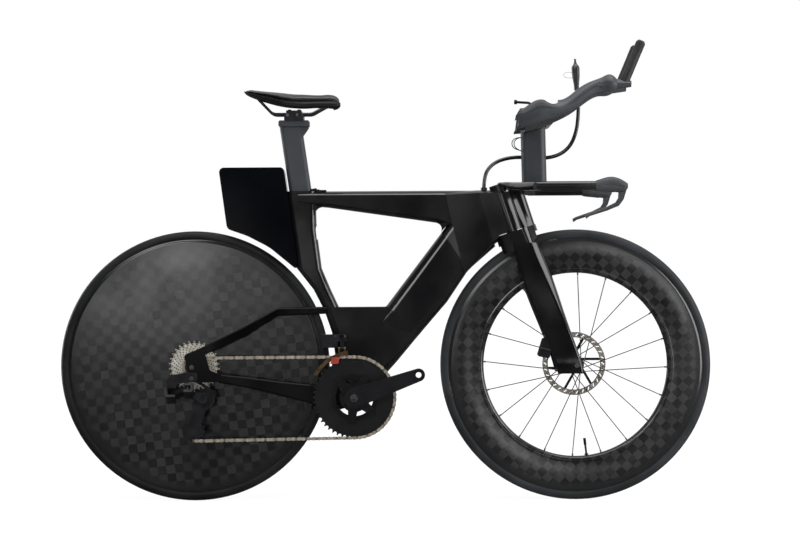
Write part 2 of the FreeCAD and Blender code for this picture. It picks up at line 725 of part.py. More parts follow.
def saddle_clamp():
    """Lower cradle and upper plate with grooves for the rails, and two bolts."""
    middle = rear(CLAMP_AHEAD, 0)[0]
    z_low = rear(0, RAIL_HEIGHT - CRADLE_HEIGHT)[1]
    z_mid = rear(0, RAIL_HEIGHT)[1]
    half = CLAMP_LENGTH / 2
    groove = RAIL_RADIUS + RUNNING_CLEARANCE
    lower = block((middle - half, middle + half), (-28, 28), (z_low, z_mid - 0.3))
    upper = block((middle - half + 5, middle + half - 5), (-28, 28), (z_mid + 0.3, z_mid + 9))
    pieces = []
    for piece in (lower, upper):
        for side in (-1, 1):
            start = V(middle - 60, side * RAIL_HALF_SPACING, z_mid)
            piece = piece.cut(rod(start, start + V(120, 0, 0), groove))
        pieces.append(piece)
    bolts = []
    for x in (-12, 12):
        start = V(middle + x, 0, z_low + 2)
        shank = Part.makeCylinder(2.5, z_mid + 9 - start.z, start)
        pieces = [piece.cut(Part.makeCylinder(2.5 + SEAT_CLEARANCE, 60, start)) for piece in pieces]
        head = Part.makeCylinder(4.5, 4, V(start.x, 0, z_mid + 9))
        bolts.append(shank.fuse(head))
    return pieces + bolts


def saddle_loft(top_share, low_share, trim):
    """Part of the saddle's height, as a crowned form through cross sections."""
    wires = []
    for x, top, low, half in SADDLE_STATIONS:
        forward, rails = rear(x, RAIL_HEIGHT)
        high = rails + top - (top - low) * top_share
        under = rails + top - (top - low) * low_share
        wires.append(cross_section(forward, under, high, half - trim))
    return Part.makeLoft(wires, True, False)


def saddle_hollow():
    """Room under the shell between its side skirts, for the rails and the clamp."""
    wires = []
    for x, roof, half in SADDLE_HOLLOW:
        forward, rails = rear(x, RAIL_HEIGHT)
        wires.append(cross_section(forward, rails - 30, rails + roof, half, 0.0, 0.1, 0.1))
    return Part.makeLoft(wires, True, False)


def cross_section(x, low, high, half, y=0.0, crown=0.45, keel=0.3):
    """Crowned cross section in a plane square to X."""
    height = high - low
    shoulder = high - height * crown
    edge = low + height * keel
    spots = [V(x, y - half, shoulder), V(x, y, high), V(x, y + half, shoulder),
             V(x, y + half * 0.94, edge), V(x, y, low), V(x, y - half * 0.94, edge)]
    return Part.Wire([
        Part.Arc(spots[0], spots[1], spots[2]).toShape(),
        Part.LineSegment(spots[2], spots[3]).toShape(),
        Part.Arc(spots[3], spots[4], spots[5]).toShape(),
        Part.LineSegment(spots[5], spots[0]).toShape(),
    ])


# Fork

LEG_STATIONS = [
    (306, -160, -90, 11.0, 26.0), (261, -147, -73, 9.5, 31.0), (163, -115, -39.5, 8.5, 39.5),
    (68, -76.5, -7.6, 7.5, 49.8), (21, -59, 8, 6.8, 56.8), (-20, -47, 16.5, 6.4, 56.4),
]
LEG_CLAMP = 13.6
BLADE_HALF_WIDTH = 18.0
BLADE_NOSE = 60.0
CROWN_HALF_WIDTH = 34.0
CROWN_REAR_RADIUS = 43.0
CROWN_DEPTH = 48.0
TYRE_ARCH_RADIUS = 350.0
TYRE_ARCH_HALF = 21.0


def fork_leg(side):
    stations = []
    for up, back, ahead, half, y in LEG_STATIONS:
        stations.append((front(back, up), front(ahead, up), half, side * y))
    return tube(stations, ruled=False, nose=0.8)


def fork(bar):
    """Crown, steerer, front blade and both legs as one moulding, under the base bar."""
    rear_x = -sqrt(CROWN_REAR_RADIUS ** 2 - CROWN_HALF_WIDTH ** 2)
    wide = CROWN_HALF_WIDTH
    crown_top = CROWN_HEIGHT - 2 * MOVING_GAP
    crown = steer_prism([((rear_x, wide), (-CROWN_REAR_RADIUS, 0), (rear_x, -wide)),
                         ((28, -wide), (BLADE_NOSE + 2, 0), (28, wide))],
                        CROWN_HEIGHT - CROWN_DEPTH, crown_top)
    inner = HEAD_TUBE_RADIUS + 3 * MOVING_GAP
    edge = sqrt(inner ** 2 - BLADE_HALF_WIDTH ** 2)
    blade = steer_prism([((edge, -BLADE_HALF_WIDTH), (inner, 0), (edge, BLADE_HALF_WIDTH)),
                         ((40, BLADE_HALF_WIDTH), (BLADE_NOSE, 0), (40, -BLADE_HALF_WIDTH))],
                        crown_top - 10, HEAD_TOP + 30)
    steerer = steer_cylinder(STEERER_RADIUS, crown_top - 10, HEAD_TOP + 18)
    body = crown.multiFuse([blade, fork_leg(-1), fork_leg(1)])
    body = body.cut(cylinder_y(TYRE_ARCH_RADIUS, front(0, 0), -TYRE_ARCH_HALF, TYRE_ARCH_HALF))
    body = body.cut(bar)
    body = max(body.Solids, key=lambda s: s.Volume).fuse(steerer)
    hole = cylinder_y(THRU_AXLE_RADIUS + SEAT_CLEARANCE, front(0, 0), -90, 90)
    recess = cylinder_y(AXLE_HEAD_RADIUS + SEAT_CLEARANCE, front(0, 0), FRONT_HUB_HALF + LEG_CLAMP, 90)
    hole = hole.fuse(recess)
    return body.cut(cylinder_y(TYRE_ARCH_RADIUS, front(0, 0), -TYRE_ARCH_HALF, TYRE_ARCH_HALF)).cut(hole)


def caliper(corners, centre, y, half, cuts):
    """Brake caliper with a slot for its rotor, seated against the parts in cuts."""
    body = slab(corners, [6, 6, 6, 6], y - half, y + half)
    slot = cylinder_y(ROTOR_RADIUS + 4, centre, y - CALIPER_SLOT / 2, y + CALIPER_SLOT / 2)
    body = body.cut(slot)
    for piece in cuts:
        body = body.cut(piece)
    return max(body.Solids, key=lambda s: s.Volume)


# Cockpit

WING_STATIONS = [
    (0, -193, -64, 11.0, 5.5), (35, -179, -74, 10.0, 6.0), (70, -166, -92, 4.5, 9.0),
    (130, -148, -97, 0.5, 10.0), (185, -125, -84, 0.0, 10.0), (207, -115, -88, 0.0, 8.5),
]


def rib(back, ahead, up, half, y):
    """Rounded wing section in a plane square to Y."""
    a = front(back, GRIP_LINE + up)
    b = front(ahead, GRIP_LINE + up)
    nose = half * 0.85
    spots = [V(a[0] + nose, y, a[1] - half), V(a[0], y, a[1]), V(a[0] + nose, y, a[1] + half),
             V(b[0] - nose, y, b[1] + half), V(b[0], y, b[1]), V(b[0] - nose, y, b[1] - half)]
    return Part.Wire([
        Part.Arc(spots[0], spots[1], spots[2]).toShape(),
        Part.LineSegment(spots[2], spots[3]).toShape(),
        Part.Arc(spots[3], spots[4], spots[5]).toShape(),
        Part.LineSegment(spots[5], spots[0]).toShape(),
    ])


def base_bar():
    """Wing bar with its stem and both forward grips."""
    ribs = [rib(back, ahead, up, thick, y) for y, back, ahead, up, thick in WING_STATIONS]
    half = Part.makeLoft(ribs, True, True)
    grip = grip_rod(GRIP_RADIUS)
    half = half.fuse(grip)
    stem = steer_cylinder(STEM_RADIUS, HEAD_TOP + 2 * MOVING_GAP, HEAD_TOP + 24)
    bar = half.multiFuse([mirrored(half), stem])
    return bar.cut(steer_cylinder(STEERER_RADIUS + SEAT_CLEARANCE, HEAD_TOP - 5, HEAD_TOP + 18.2))


def grip_rod(radius):
    start = V(FRONT_X - 106, GRIP_Y, WHEEL_RADIUS + GRIP_LINE)
    return rod(start, V(FRONT_X + GRIP_END, GRIP_Y, start.z), radius)


HOOD_STATIONS = [
    (36, -11.5, 11.5, 11.6), (52, -14.5, 16.5, 13.0), (72, -16.5, 20.5, 13.6), (97, -18.5, 14.5, 13.0),
    (113, -9.5, 4.5, 9.0),
]


def hood():
    """Rubber hood over the left grip end, slotted for the lever."""
    wires = []
    for ahead, low, high, half in HOOD_STATIONS:
        x, middle = front(ahead, GRIP_LINE)
        wires.append(cross_section(x, middle + low, middle + high, half, GRIP_Y, 0.5, 0.45))
    body = Part.makeLoft(wires, True, False)
    body = body.cut(grip_rod(GRIP_RADIUS + SEAT_CLEARANCE))
    room = LEVER_HALF_WIDTH + MOVING_GAP
    slot_low = front(LEVER_PIVOT[0] - 16, LEVER_PIVOT[1] - 31)
    slot = block((slot_low[0], slot_low[0] + 60), (GRIP_Y - room, GRIP_Y + room),
                 (slot_low[1], WHEEL_RADIUS + LEVER_PIVOT[1] + LEVER_BOSS_RADIUS + 1))
    pin = cylinder_y(LEVER_PIN_RADIUS + RUNNING_CLEARANCE, front(*LEVER_PIVOT), GRIP_Y - 30, GRIP_Y + 30)
    return body.cut(slot).cut(pin)


LEVER_EDGES = [
    ((16, 3), (2, -3)), ((8, -24), (-5, -20)), ((-3, -39), (-12, -31)),
    ((-31, -50.5), (-33.5, -41.5)), ((-74, -64), (-76, -56)), ((-82, -70), (-85, -61)),
]


def by_lever(forward, up):
    """Side-view point measured from the lever pivot."""
    return front(LEVER_PIVOT[0] + forward, LEVER_PIVOT[1] + up)


def lever():
    """Left brake lever with its pivot pin."""
    stations = [(by_lever(*outer), by_lever(*inner), LEVER_HALF_WIDTH, GRIP_Y) for outer, inner in LEVER_EDGES]
    blade = tube(stations, nose=0.5)
    boss = cylinder_y(LEVER_BOSS_RADIUS, front(*LEVER_PIVOT), GRIP_Y - LEVER_HALF_WIDTH, GRIP_Y + LEVER_HALF_WIDTH)
    arm = slab([by_lever(0, 7), by_lever(16, 3), by_lever(8, -23), by_lever(-5, -20), by_lever(-4, -5)],
               [0, 0, 0, 0, 0],
               GRIP_Y - LEVER_HALF_WIDTH, GRIP_Y + LEVER_HALF_WIDTH)
    pin = cylinder_y(LEVER_PIN_RADIUS, front(*LEVER_PIVOT), GRIP_Y - 10.5, GRIP_Y + 10.5)
    return blade.multiFuse([boss, arm, pin])


EXTENSION_STATIONS = [
    (-148, 2, 44, 30), (-133, 4, 75, 40), (-108, 10, 92, 43), (-85, 18, 97, 43), (-55, 29, 82, 37),
    (-36, 37, 80, 30), (2, 58, 104, 23), (37, 84, 124.5, 19), (67, 98, 136, 17), (102, 105, 130, 16),
]
TIP_STATIONS = [(102, 105, 130, 16), (137, 110, 126, 13)]
TROUGH_STATIONS = [(-170, 3, 100, 26), (-133, 8.5, 120, 35.5), (-85, 22.5, 140, 38.5), (-58, 33, 140, 31),
                   (-44, 54, 130, 14)]
PAD_OUTER = [(-139, 9.5, 48, 33), (-85, 23, 68, 37.8), (-62, 32, 64, 31.5)]
PAD_INNER = [(-150, 18, 100, 25), (-85, 31.5, 120, 29.5), (-50, 42, 110, 22)]


def cup_loft(stations, crown, keel, ruled=False):
    wires = []
    for ahead, low, high, half in stations:
        x, bracket = front(ahead, BRACKET_HEIGHT)
        wires.append(cross_section(x, bracket + low, bracket + high, half, CUP_Y, crown, keel))
    return Part.makeLoft(wires, True, ruled)


def by_bracket(forward, up):
    """Side-view point measured from the front axle and the height of the arm bracket."""
    return front(forward, BRACKET_HEIGHT + up)


def upright_axis():
    """Foot and unit direction of the left upright grip."""
    foot = at(by_bracket(*UPRIGHT_FOOT), CUP_Y)
    return foot, V(cos(radians(UPRIGHT_ANGLE)), 0, sin(radians(UPRIGHT_ANGLE)))


def upright_rod(low, high, radius):
    foot, way = upright_axis()
    return rod(foot + way * low, foot + way * high, radius)


def extension():
    """Left arm cup and its extension, hollowed for the forearm and socketed for the upright grip."""
    body = cup_loft(EXTENSION_STATIONS, 0.45, 0.55)
    body = body.fuse(cup_loft(TIP_STATIONS, 0.45, 0.55, True))
    body = body.cut(cup_loft(TROUGH_STATIONS, 0.1, 0.45))
    return body.cut(upright_rod(UPRIGHT_SEAT - SEAT_CLEARANCE, UPRIGHT_LENGTH, UPRIGHT_RADIUS + SEAT_CLEARANCE))


def arm_pad(cup):
    """Left forearm pad lining the cup."""
    pad = cup_loft(PAD_OUTER, 0.2, 0.5)
    pad = pad.cut(cup_loft(PAD_INNER, 0.1, 0.5)).cut(cup)
    return max(pad.Solids, key=lambda s: s.Volume)


def upright_grip():
    """Left upright grip with a recess for its button."""
    recess = BUTTON_LENGTH - 4
    grip = upright_rod(UPRIGHT_SEAT, UPRIGHT_LENGTH, UPRIGHT_RADIUS)
    return grip.cut(upright_rod(UPRIGHT_LENGTH - recess - BUTTON_TRAVEL, UPRIGHT_LENGTH + 1, BUTTON_RADIUS + 0.2))


def shift_button():
    start = UPRIGHT_LENGTH - BUTTON_LENGTH + 5
    button = upright_rod(start, start + BUTTON_LENGTH, BUTTON_RADIUS)
    rim = max((edge for edge in button.Edges if edge.Closed), key=lambda edge: edge.CenterOfMass.z)
    return button.makeFillet(BUTTON_ROUNDING, [rim])


def arm_bracket(left, right):
    """Cross plate under both cups."""
    plate = slab([by_bracket(-128, -2), by_bracket(-58, 19), by_bracket(-58, 36), by_bracket(-128, 15)], [4, 4, 4, 4],
                 -BRACKET_HALF_WIDTH, BRACKET_HALF_WIDTH)
    plate = plate.cut(left).cut(right)
    return max(plate.Solids, key=lambda s: s.Volume)


def riser(bar, bracket):
    """Column from the base bar to the arm bracket."""
    column = tube([
        (front(RISER_REAR, BAR_CENTRE_TOP - 4), front(RISER_FRONT, BAR_CENTRE_TOP - 4), RISER_HALF_WIDTH, 0),
        (front(RISER_REAR + RISER_LEAN, BRACKET_HEIGHT + 12), front(RISER_FRONT + RISER_LEAN, BRACKET_HEIGHT + 12),
         RISER_HALF_WIDTH, 0),
    ])
    column = column.cut(bar).cut(bracket)
    return max(column.Solids, key=lambda s: s.Volume)


# Wheels

def turned(wire, centre):
    """Turn a closed (radius, y) profile about an axle."""
    solid = Part.Face(wire).revolve(V(0, 0, 0), Y_AXIS, 360)
    solid.translate(at(centre, 0))
    return solid


def profile(items):
    """Closed (radius, y) profile from arcs of three points and single corners."""
    edges = []
    first = None
    last = None
    for item in items:
        spots = [V(r, y, 0) for r, y in item]
        if last is not None and (last - spots[0]).Length > 1e-6:
            edges.append(Part.LineSegment(last, spots[0]).toShape())
        if len(spots) == 3:
            edges.append(Part.Arc(*spots).toShape())
        first = first or spots[0]
        last = spots[-1]
    if (last - first).Length > 1e-6:
        edges.append(Part.LineSegment(last, first).toShape())
    return Part.Wire(edges)


def hollow_turned(outer, inner, centre):
    return turned(outer, centre).cut(turned(inner, centre))


def tyre(centre):
    """Tyre casing standing on the rim's outer band."""
    seat = RIM_OUTER + SEAT_CLEARANCE
    foot = TYRE_HALF_WIDTH - 2.4
    inner = foot - TYRE_WALL
    crown = WHEEL_RADIUS
    ring = profile([((seat, foot), (crown, 0), (seat, -foot)),
                    ((seat, -inner), (crown - TYRE_WALL, 0), (seat, inner))])
    return turned(ring, centre)


def rim_profile(inset):
    """Deep rim section, moved in by inset."""
    wide = RIM_HALF_WIDTH - inset
    outer = RIM_OUTER - inset
    nose = RIM_OUTER - RIM_DEPTH + inset
    side = nose + 16
    return profile([((outer, wide - 1.2), (outer - 34, wide), (side, wide - 3.2)),
                    ((side, wide - 3.2), (nose, 0), (side, 3.2 - wide)),
                    ((side, 3.2 - wide), (outer - 34, -wide), (outer, 1.2 - wide))])


def spoke_angle(i):
    return radians(360.0 / SPOKES * i - 1.9)


def front_rim():
    """Hollow deep rim with its spoke and valve holes."""
    centre = front(0, 0)
    rim = hollow_turned(rim_profile(0), rim_profile(RIM_WALL), centre)
    nose = RIM_OUTER - RIM_DEPTH
    holes = []
    for i in range(SPOKES):
        reach = nose + RIM_WALL + 4
        holes.append(radial_rod(spoke_angle(i), nose - 5, reach, NIPPLE_RADIUS + SEAT_CLEARANCE, centre))
    holes.append(radial_rod(radians(VALVE_ANGLE), nose - 5, RIM_OUTER + 5, VALVE_RADIUS + SEAT_CLEARANCE, centre))
    return cut_all(rim, [Part.makeCompound(holes)])


def radial_rod(angle, inner, outer, radius, centre):
    way = V(cos(angle), 0, sin(angle))
    middle = at(centre, 0)
    return rod(middle + way * inner, middle + way * outer, radius)


def front_spokes(hub):
    """Bladed spokes, laced tangent to the flanges and ending on them, with their nipples."""
    middle = at(front(0, 0), 0)
    nose = RIM_OUTER - RIM_DEPTH
    solids = []
    for i in range(SPOKES):
        angle = spoke_angle(i)
        side = 1 if i % 2 else -1
        lean = radians(62) if (i // 2) % 2 else -radians(62)
        root = FRONT_FLANGE_RADIUS - 1
        hub_end = middle + V(cos(angle + lean), 0, sin(angle + lean)) * root
        hub_end.y = side * FRONT_FLANGE_HALF
        rim_end = middle + V(cos(angle), 0, sin(angle)) * (nose - 7)
        rim_end.y = side * 1.0
        solids.append(blade_bar(hub_end, rim_end, SPOKE_WIDTH, SPOKE_THICKNESS).cut(hub).Solids[0])
        solids.append(radial_rod(angle, nose - 7 + 0.6, nose + RIM_WALL + 1.5, NIPPLE_RADIUS, front(0, 0)))
    return solids


def blade_bar(start, end, width, thickness):
    """Straight flat bar between two points, its width in the wheel plane."""
    way = (end - start)
    length = way.Length
    way.normalize()
    across = way.cross(Y_AXIS).normalize()
    through = across.cross(way).normalize()
    corners = []
    for a, b in ((-1, -1), (1, -1), (1, 1), (-1, 1)):
        corners.append(start + across * (a * width / 2) + through * (b * thickness / 2))
    face = Part.Face(Part.makePolygon(corners + corners[:1]))
    return face.extrude(way * length)


def front_hub():
    """Hub shell with two flanges, a rotor seat and its axle bore."""
    end = FRONT_HUB_HALF - 0.3
    bore = THRU_AXLE_RADIUS + RUNNING_CLEARANCE
    flange = FRONT_FLANGE_HALF
    seat = FRONT_ROTOR_Y
    big = FRONT_FLANGE_RADIUS
    return turned(profile([((bore, -end),), ((10, -end),), ((10, -flange - 8),), ((15, -flange - 3),),
                           ((big, -flange - 1.8),), ((big, -flange + 1.8),), ((13, -flange + 5),), ((11.5, 0),),
                           ((13, flange - 5),), ((big, flange - 1.8),), ((big, flange + 1.8),), ((16.5, flange + 3),),
                           ((16.5, seat + 4),), ((10, seat + 6),), ((10, end),), ((bore, end),)]), front(0, 0))


def rear_disc():
    """Hollow disc wheel skin from the hub to the tyre seat."""
    bore = REAR_HUB_RADIUS + SEAT_CLEARANCE

    def skin(inset):
        wide = DISC_HALF_WIDTH - inset
        edge = RIM_HALF_WIDTH - inset
        outer = RIM_OUTER - inset
        return profile([((bore + inset, -wide),), ((bore + inset, wide),), ((240, wide),),
                        ((240, wide), (285, edge), (outer, edge - 1.2)),
                        ((outer, 1.2 - edge), (285, -edge), (240, -wide))])

    return hollow_turned(skin(0), skin(RIM_WALL), rear(0, 0))


def rear_hub():
    """Hub inside the disc, carrying the rotor on the left."""
    bore = THRU_AXLE_RADIUS + RUNNING_CLEARANCE
    end = REAR_HUB_HALF - 0.3
    wide = DISC_HALF_WIDTH
    big = REAR_HUB_RADIUS
    seat = REAR_ROTOR_Y
    right = COG_Y + COG_SPACING * (len(COGS) - 1) + 4
    return turned(profile([((bore, right),), ((16, right),), ((big, -wide),), ((big, wide),), ((17, wide + 6),),
                           ((14, wide + 10),), ((14, seat - 5),), ((16.5, seat - 4),), ((16.5, seat + 4),),
                           ((10, seat + 6),), ((10, end),), ((bore, end),)]), rear(0, 0))


def rotor(centre, y):
    """Slotted brake track on a swirl of arms."""
    half = ROTOR_THICKNESS / 2
    track_inner = ROTOR_RADIUS - ROTOR_TRACK
    track = ring_y(ROTOR_RADIUS, track_inner, centre, y - half, y + half)
    slots = []
    for i in range(ROTOR_SLOTS):
        slot = Part.makeBox(8.5, 10, 2.6, V(-4.25, -5, -1.3))
        slot.rotate(V(0, 0, 0), Y_AXIS, 38)
        slot.translate(V(ROTOR_RADIUS - ROTOR_TRACK / 2, 0, 0))
        slot.rotate(V(0, 0, 0), Y_AXIS, 360.0 / ROTOR_SLOTS * i)
        slot.translate(at(centre, y))
        slots.append(slot)
    track = track.cut(Part.makeCompound(slots))
    carrier = ring_y(24, 16.5 + SEAT_CLEARANCE, centre, y - 1.6, y + 1.6)
    arms = []
    for i in range(ROTOR_ARMS):
        arm = Part.makeBox(track_inner - 14, 1.6, 6.5, V(17, -0.8, 8))
        arm.rotate(V(0, 0, 0), Y_AXIS, 360.0 / ROTOR_ARMS * i)
        arm.translate(at(centre, y))
        arms.append(arm)
    reach = cylinder_y(track_inner + 1.5, centre, y - 5, y + 5)
    bore = cylinder_y(16.5 + SEAT_CLEARANCE, centre, y - 5, y + 5)
    arms = [arm.common(reach).cut(bore) for arm in arms]
    return track.multiFuse([carrier] + arms)


def valve():
    """Tubeless valve through the front rim, with its cap."""
    centre = front(0, 0)
    nose = RIM_OUTER - RIM_DEPTH
    angle = radians(VALVE_ANGLE)
    stem = radial_rod(angle, nose - VALVE_STICK_OUT, RIM_OUTER - 1, VALVE_RADIUS, centre)
    cap = radial_rod(angle, nose - VALVE_STICK_OUT, nose - VALVE_STICK_OUT + 17, VALVE_RADIUS + 0.9, centre)
    nut = radial_rod(angle, nose - 4, nose - 0.8, VALVE_RADIUS + 2.4, centre)
    return stem.multiFuse([cap, nut])


# Drive train

def pitch_radius(teeth):
    return PITCH / (2 * sin(pi / teeth))


def sprocket(teeth, centre, y, bore, phase=0.0):
    """Toothed plate whose seats lie under the rollers at phase and every tooth after it."""
    radius = pitch_radius(teeth)
    seat = ROLLER_RADIUS + TOOTH_SEAT_GAP
    reach = radians(70)
    edges = []
    step = 2 * pi / teeth
    first = None
    last = None
    for i in range(teeth):
        angle = phase + i * step
        out = V(cos(angle), 0, sin(angle))
        side = V(-sin(angle), 0, cos(angle))
        roller = out * radius
        start = roller - out * (seat * cos(reach)) - side * (seat * sin(reach))
        middle = roller - out * seat
        end = roller - out * (seat * cos(reach)) + side * (seat * sin(reach))
        tooth = angle + step / 2
        tip = V(cos(tooth), 0, sin(tooth)) * (radius + TOOTH_HEIGHT)
        across = V(-sin(tooth), 0, cos(tooth)) * TOOTH_TIP_HALF
        if last is not None:
            edges.append(Part.LineSegment(last, start).toShape())
        first = first or start
        edges.append(Part.Arc(start, middle, end).toShape())
        edges.append(Part.LineSegment(end, tip - across).toShape())
        edges.append(Part.LineSegment(tip - across, tip + across).toShape())
        last = tip + across
    edges.append(Part.LineSegment(last, first).toShape())
    face = Part.Face(Part.Wire(edges))
    plate = face.extrude(V(0, TOOTH_THICKNESS, 0))
    plate.translate(at(centre, y - TOOTH_THICKNESS / 2))
    return plate.cut(cylinder_y(bore, centre, y - 10, y + 10))


def unit(angle):
    return (cos(angle), sin(angle))


def chain_wheels(cage_angle):
    """Chain wheels in running order: centre, teeth, turn (-1 is forward rolling) and y."""
    guide = rear(*GUIDE_PULLEY)
    tension = (guide[0] + CAGE_LENGTH * cos(cage_angle), guide[1] + CAGE_LENGTH * sin(cage_angle))
    return [
        ((BB_X, BB_Z), BIG_RING_TEETH, -1, RING_Y),
        (tension, PULLEY_TEETH, -1, COG_Y),
        (guide, PULLEY_TEETH, 1, COG_Y),
        (rear(0, 0), COGS[0], -1, COG_Y),
    ]


def chain_stretches(cage_angle):
    """Tangent runs and wraps of the chain, each with its length in pitches."""
    wheels = chain_wheels(cage_angle)
    headings = []
    for i, (centre, teeth, turn, y) in enumerate(wheels):
        other, other_teeth, other_turn, other_y = wheels[(i + 1) % len(wheels)]
        dx = other[0] - centre[0]
        dz = other[1] - centre[1]
        lead = turn * pitch_radius(teeth) - other_turn * pitch_radius(other_teeth)
        headings.append(atan2(dz, dx) + asin(lead / hypot(dx, dz)))
    stretches = []
    for i, (centre, teeth, turn, y) in enumerate(wheels):
        arrive = headings[i - 1]
        leave = headings[i]
        sweep = (turn * (leave - arrive)) % (2 * pi)
        start = arrive - turn * pi / 2
        stretches.append(("wrap", centre, teeth, turn, start, sweep * teeth / (2 * pi), y, y))
        other, other_teeth, other_turn, other_y = wheels[(i + 1) % len(wheels)]
        a = unit(leave - turn * pi / 2)
        b = unit(leave - other_turn * pi / 2)
        p = (centre[0] + a[0] * pitch_radius(teeth), centre[1] + a[1] * pitch_radius(teeth))
        q = (other[0] + b[0] * pitch_radius(other_teeth), other[1] + b[1] * pitch_radius(other_teeth))
        stretches.append(("run", p, q, 0, 0, hypot(q[0] - p[0], q[1] - p[1]) / PITCH, y, other_y))
    return stretches


def chain_pitches(cage_angle):
    return sum(stretch[5] for stretch in chain_stretches(cage_angle))


def solved_cage_angle():
    """Cage angle at which the chain closes on a whole, even number of links."""
    guess = radians(CAGE_ANGLE_GUESS)
    links = 2 * round(chain_pitches(guess) / 2)
    low = guess - 0.35
    high = guess + 0.35
    rising = chain_pitches(high) > chain_pitches(low)
    for i in range(60):
        middle = (low + high) / 2
        if (chain_pitches(middle) < links) == rising:
            low = middle
        else:
            high = middle
    return middle, links


def chain_point(stretches, count):
    """Place of the chain after a count of pitches."""
    for kind, a, b, turn, start, pitches, y, end_y in stretches:
        if count <= pitches + 1e-9:
            break
        count -= pitches
    if kind == "wrap":
        angle = start + turn * 2 * pi * count / b
        radius = pitch_radius(b)
        return V(a[0] + radius * cos(angle), y, a[1] + radius * sin(angle))
    share = count / pitches
    ease = share * share * (3 - 2 * share)
    return V(a[0] + (b[0] - a[0]) * share, y + (end_y - y) * ease, a[1] + (b[1] - a[1]) * share)


def link_plate(low, high):
    """Side plate of a chain link, from one pin to the next."""
    r = LINK_HALF_HEIGHT
    waist = r * 0.78
    spots = [V(0, low, -r), V(-r, low, 0), V(0, low, r), V(PITCH / 2, low, waist),
             V(PITCH, low, r), V(PITCH + r, low, 0), V(PITCH, low, -r), V(PITCH / 2, low, -waist)]
    wire = Part.Wire([
        Part.Arc(spots[0], spots[1], spots[2]).toShape(),
        Part.Arc(spots[2], spots[3], spots[4]).toShape(),
        Part.Arc(spots[4], spots[5], spots[6]).toShape(),
        Part.Arc(spots[6], spots[7], spots[0]).toShape(),
    ])
    return Part.Face(wire).extrude(V(0, high - low, 0))


def chain_links():
    """One inner link with its rollers, and one outer link with its pins."""
    bore = CHAIN_PIN_RADIUS + CHAIN_BORE_GAP
    inner = link_plate(*INNER_PLATE).fuse(link_plate(-INNER_PLATE[1], -INNER_PLATE[0]))
    outer = link_plate(*OUTER_PLATE).fuse(link_plate(-OUTER_PLATE[1], -OUTER_PLATE[0]))
    for x in (0, PITCH):
        inner = inner.fuse(cylinder_y(ROLLER_RADIUS, (x, 0), -INNER_PLATE[0], INNER_PLATE[0]))
        outer = outer.fuse(cylinder_y(CHAIN_PIN_RADIUS, (x, 0), -CHAIN_PIN_HALF, CHAIN_PIN_HALF))
    for x in (0, PITCH):
        inner = inner.cut(cylinder_y(bore, (x, 0), -9, 9))
    return inner, outer


def chain(cage_angle, links):
    """Closed chain of separate inner and outer links."""
    stretches = chain_stretches(cage_angle)
    pins = [chain_point(stretches, i) for i in range(links)]
    models = chain_links()
    solids = []
    for i in range(links):
        start = pins[i]
        way = (pins[(i + 1) % links] - start).normalize()
        up = way.cross(Y_AXIS).normalize()
        side = up.cross(way).normalize()
        matrix = FreeCAD.Matrix(way.x, side.x, up.x, start.x, way.y, side.y, up.y, start.y,
                                way.z, side.z, up.z, start.z)
        solids.append(models[i % 2].transformed(matrix))
    return solids, pins


def phase_of(pins, centre, teeth, y):
    """Angle of a chain roller that sits on a wheel."""
    radius = pitch_radius(teeth)
    found = min(pins, key=lambda p: abs(hypot(p.x - centre[0], p.z - centre[1]) - radius) + 100 * abs(p.y - y))
    return atan2(found.z - centre[1], found.x - centre[0])


def cassette(pins):
    """Cogs, their carrier body and the lock ring."""
    centre = rear(0, 0)
    solids = []
    for i, teeth in enumerate(COGS):
        y = COG_Y + COG_SPACING * i
        phase = phase_of(pins, centre, teeth, y) if i == 0 else 0.0
        solids.append(sprocket(teeth, centre, y, FREEHUB_RADIUS + SEAT_CLEARANCE, phase))
    bore = THRU_AXLE_RADIUS + RUNNING_CLEARANCE
    last = COG_Y + COG_SPACING * (len(COGS) - 1) + 3
    end = REAR_HUB_HALF - 0.3
    solids.append(turned(profile([((bore, -end),), ((9, -end),), ((9, COG_Y - 5),), ((FREEHUB_RADIUS, COG_Y - 5),),
                                  ((FREEHUB_RADIUS, last),), ((bore, last),)]), centre))
    solids.append(ring_y(FREEHUB_RADIUS + 1.3, FREEHUB_RADIUS + SEAT_CLEARANCE, centre, COG_Y - 4, COG_Y - 1.2))
    return solids


def crank_end(angle):
    return (BB_X + CRANK_LENGTH * cos(angle), BB_Z + CRANK_LENGTH * sin(angle))


def crank_bar(angle, low, high):
    """Tapered crank arm between two y values with its pedal hole."""
    middle = (BB_X, BB_Z)
    end = crank_end(angle)
    boss = cylinder_y(CRANK_BOSS_RADIUS, middle, low, high)
    tip = cylinder_y(CRANK_TIP_RADIUS, end, low, high)
    lean = asin((CRANK_BOSS_RADIUS - CRANK_TIP_RADIUS) / CRANK_LENGTH)
    corners = []
    for centre, radius, sign in ((middle, CRANK_BOSS_RADIUS, 1), (end, CRANK_TIP_RADIUS, 1),
                                 (end, CRANK_TIP_RADIUS, -1), (middle, CRANK_BOSS_RADIUS, -1)):
        way = angle + sign * (pi / 2 - lean)
        corners.append(V(centre[0] + radius * cos(way), low, centre[1] + radius * sin(way)))
    arm = Part.Face(Part.makePolygon(corners + corners[:1])).extrude(V(0, high - low, 0))
    body = boss.multiFuse([arm, tip])
    return body.cut(cylinder_y(PEDAL_THREAD_RADIUS, end, low - 5, high + 5))


def ring_bolt_places():
    spots = []
    for turn in SPIDER_ARMS:
        angle = radians(turn)
        spots.append((BB_X + SPIDER_BOLT_RADIUS * cos(angle), BB_Z + SPIDER_BOLT_RADIUS * sin(angle)))
    return spots


RING_BAND = 4.0
BIG_RING_BAND = 90.0
SMALL_RING_BAND = 62.0
RING_FACE = RING_Y - RING_BAND / 2


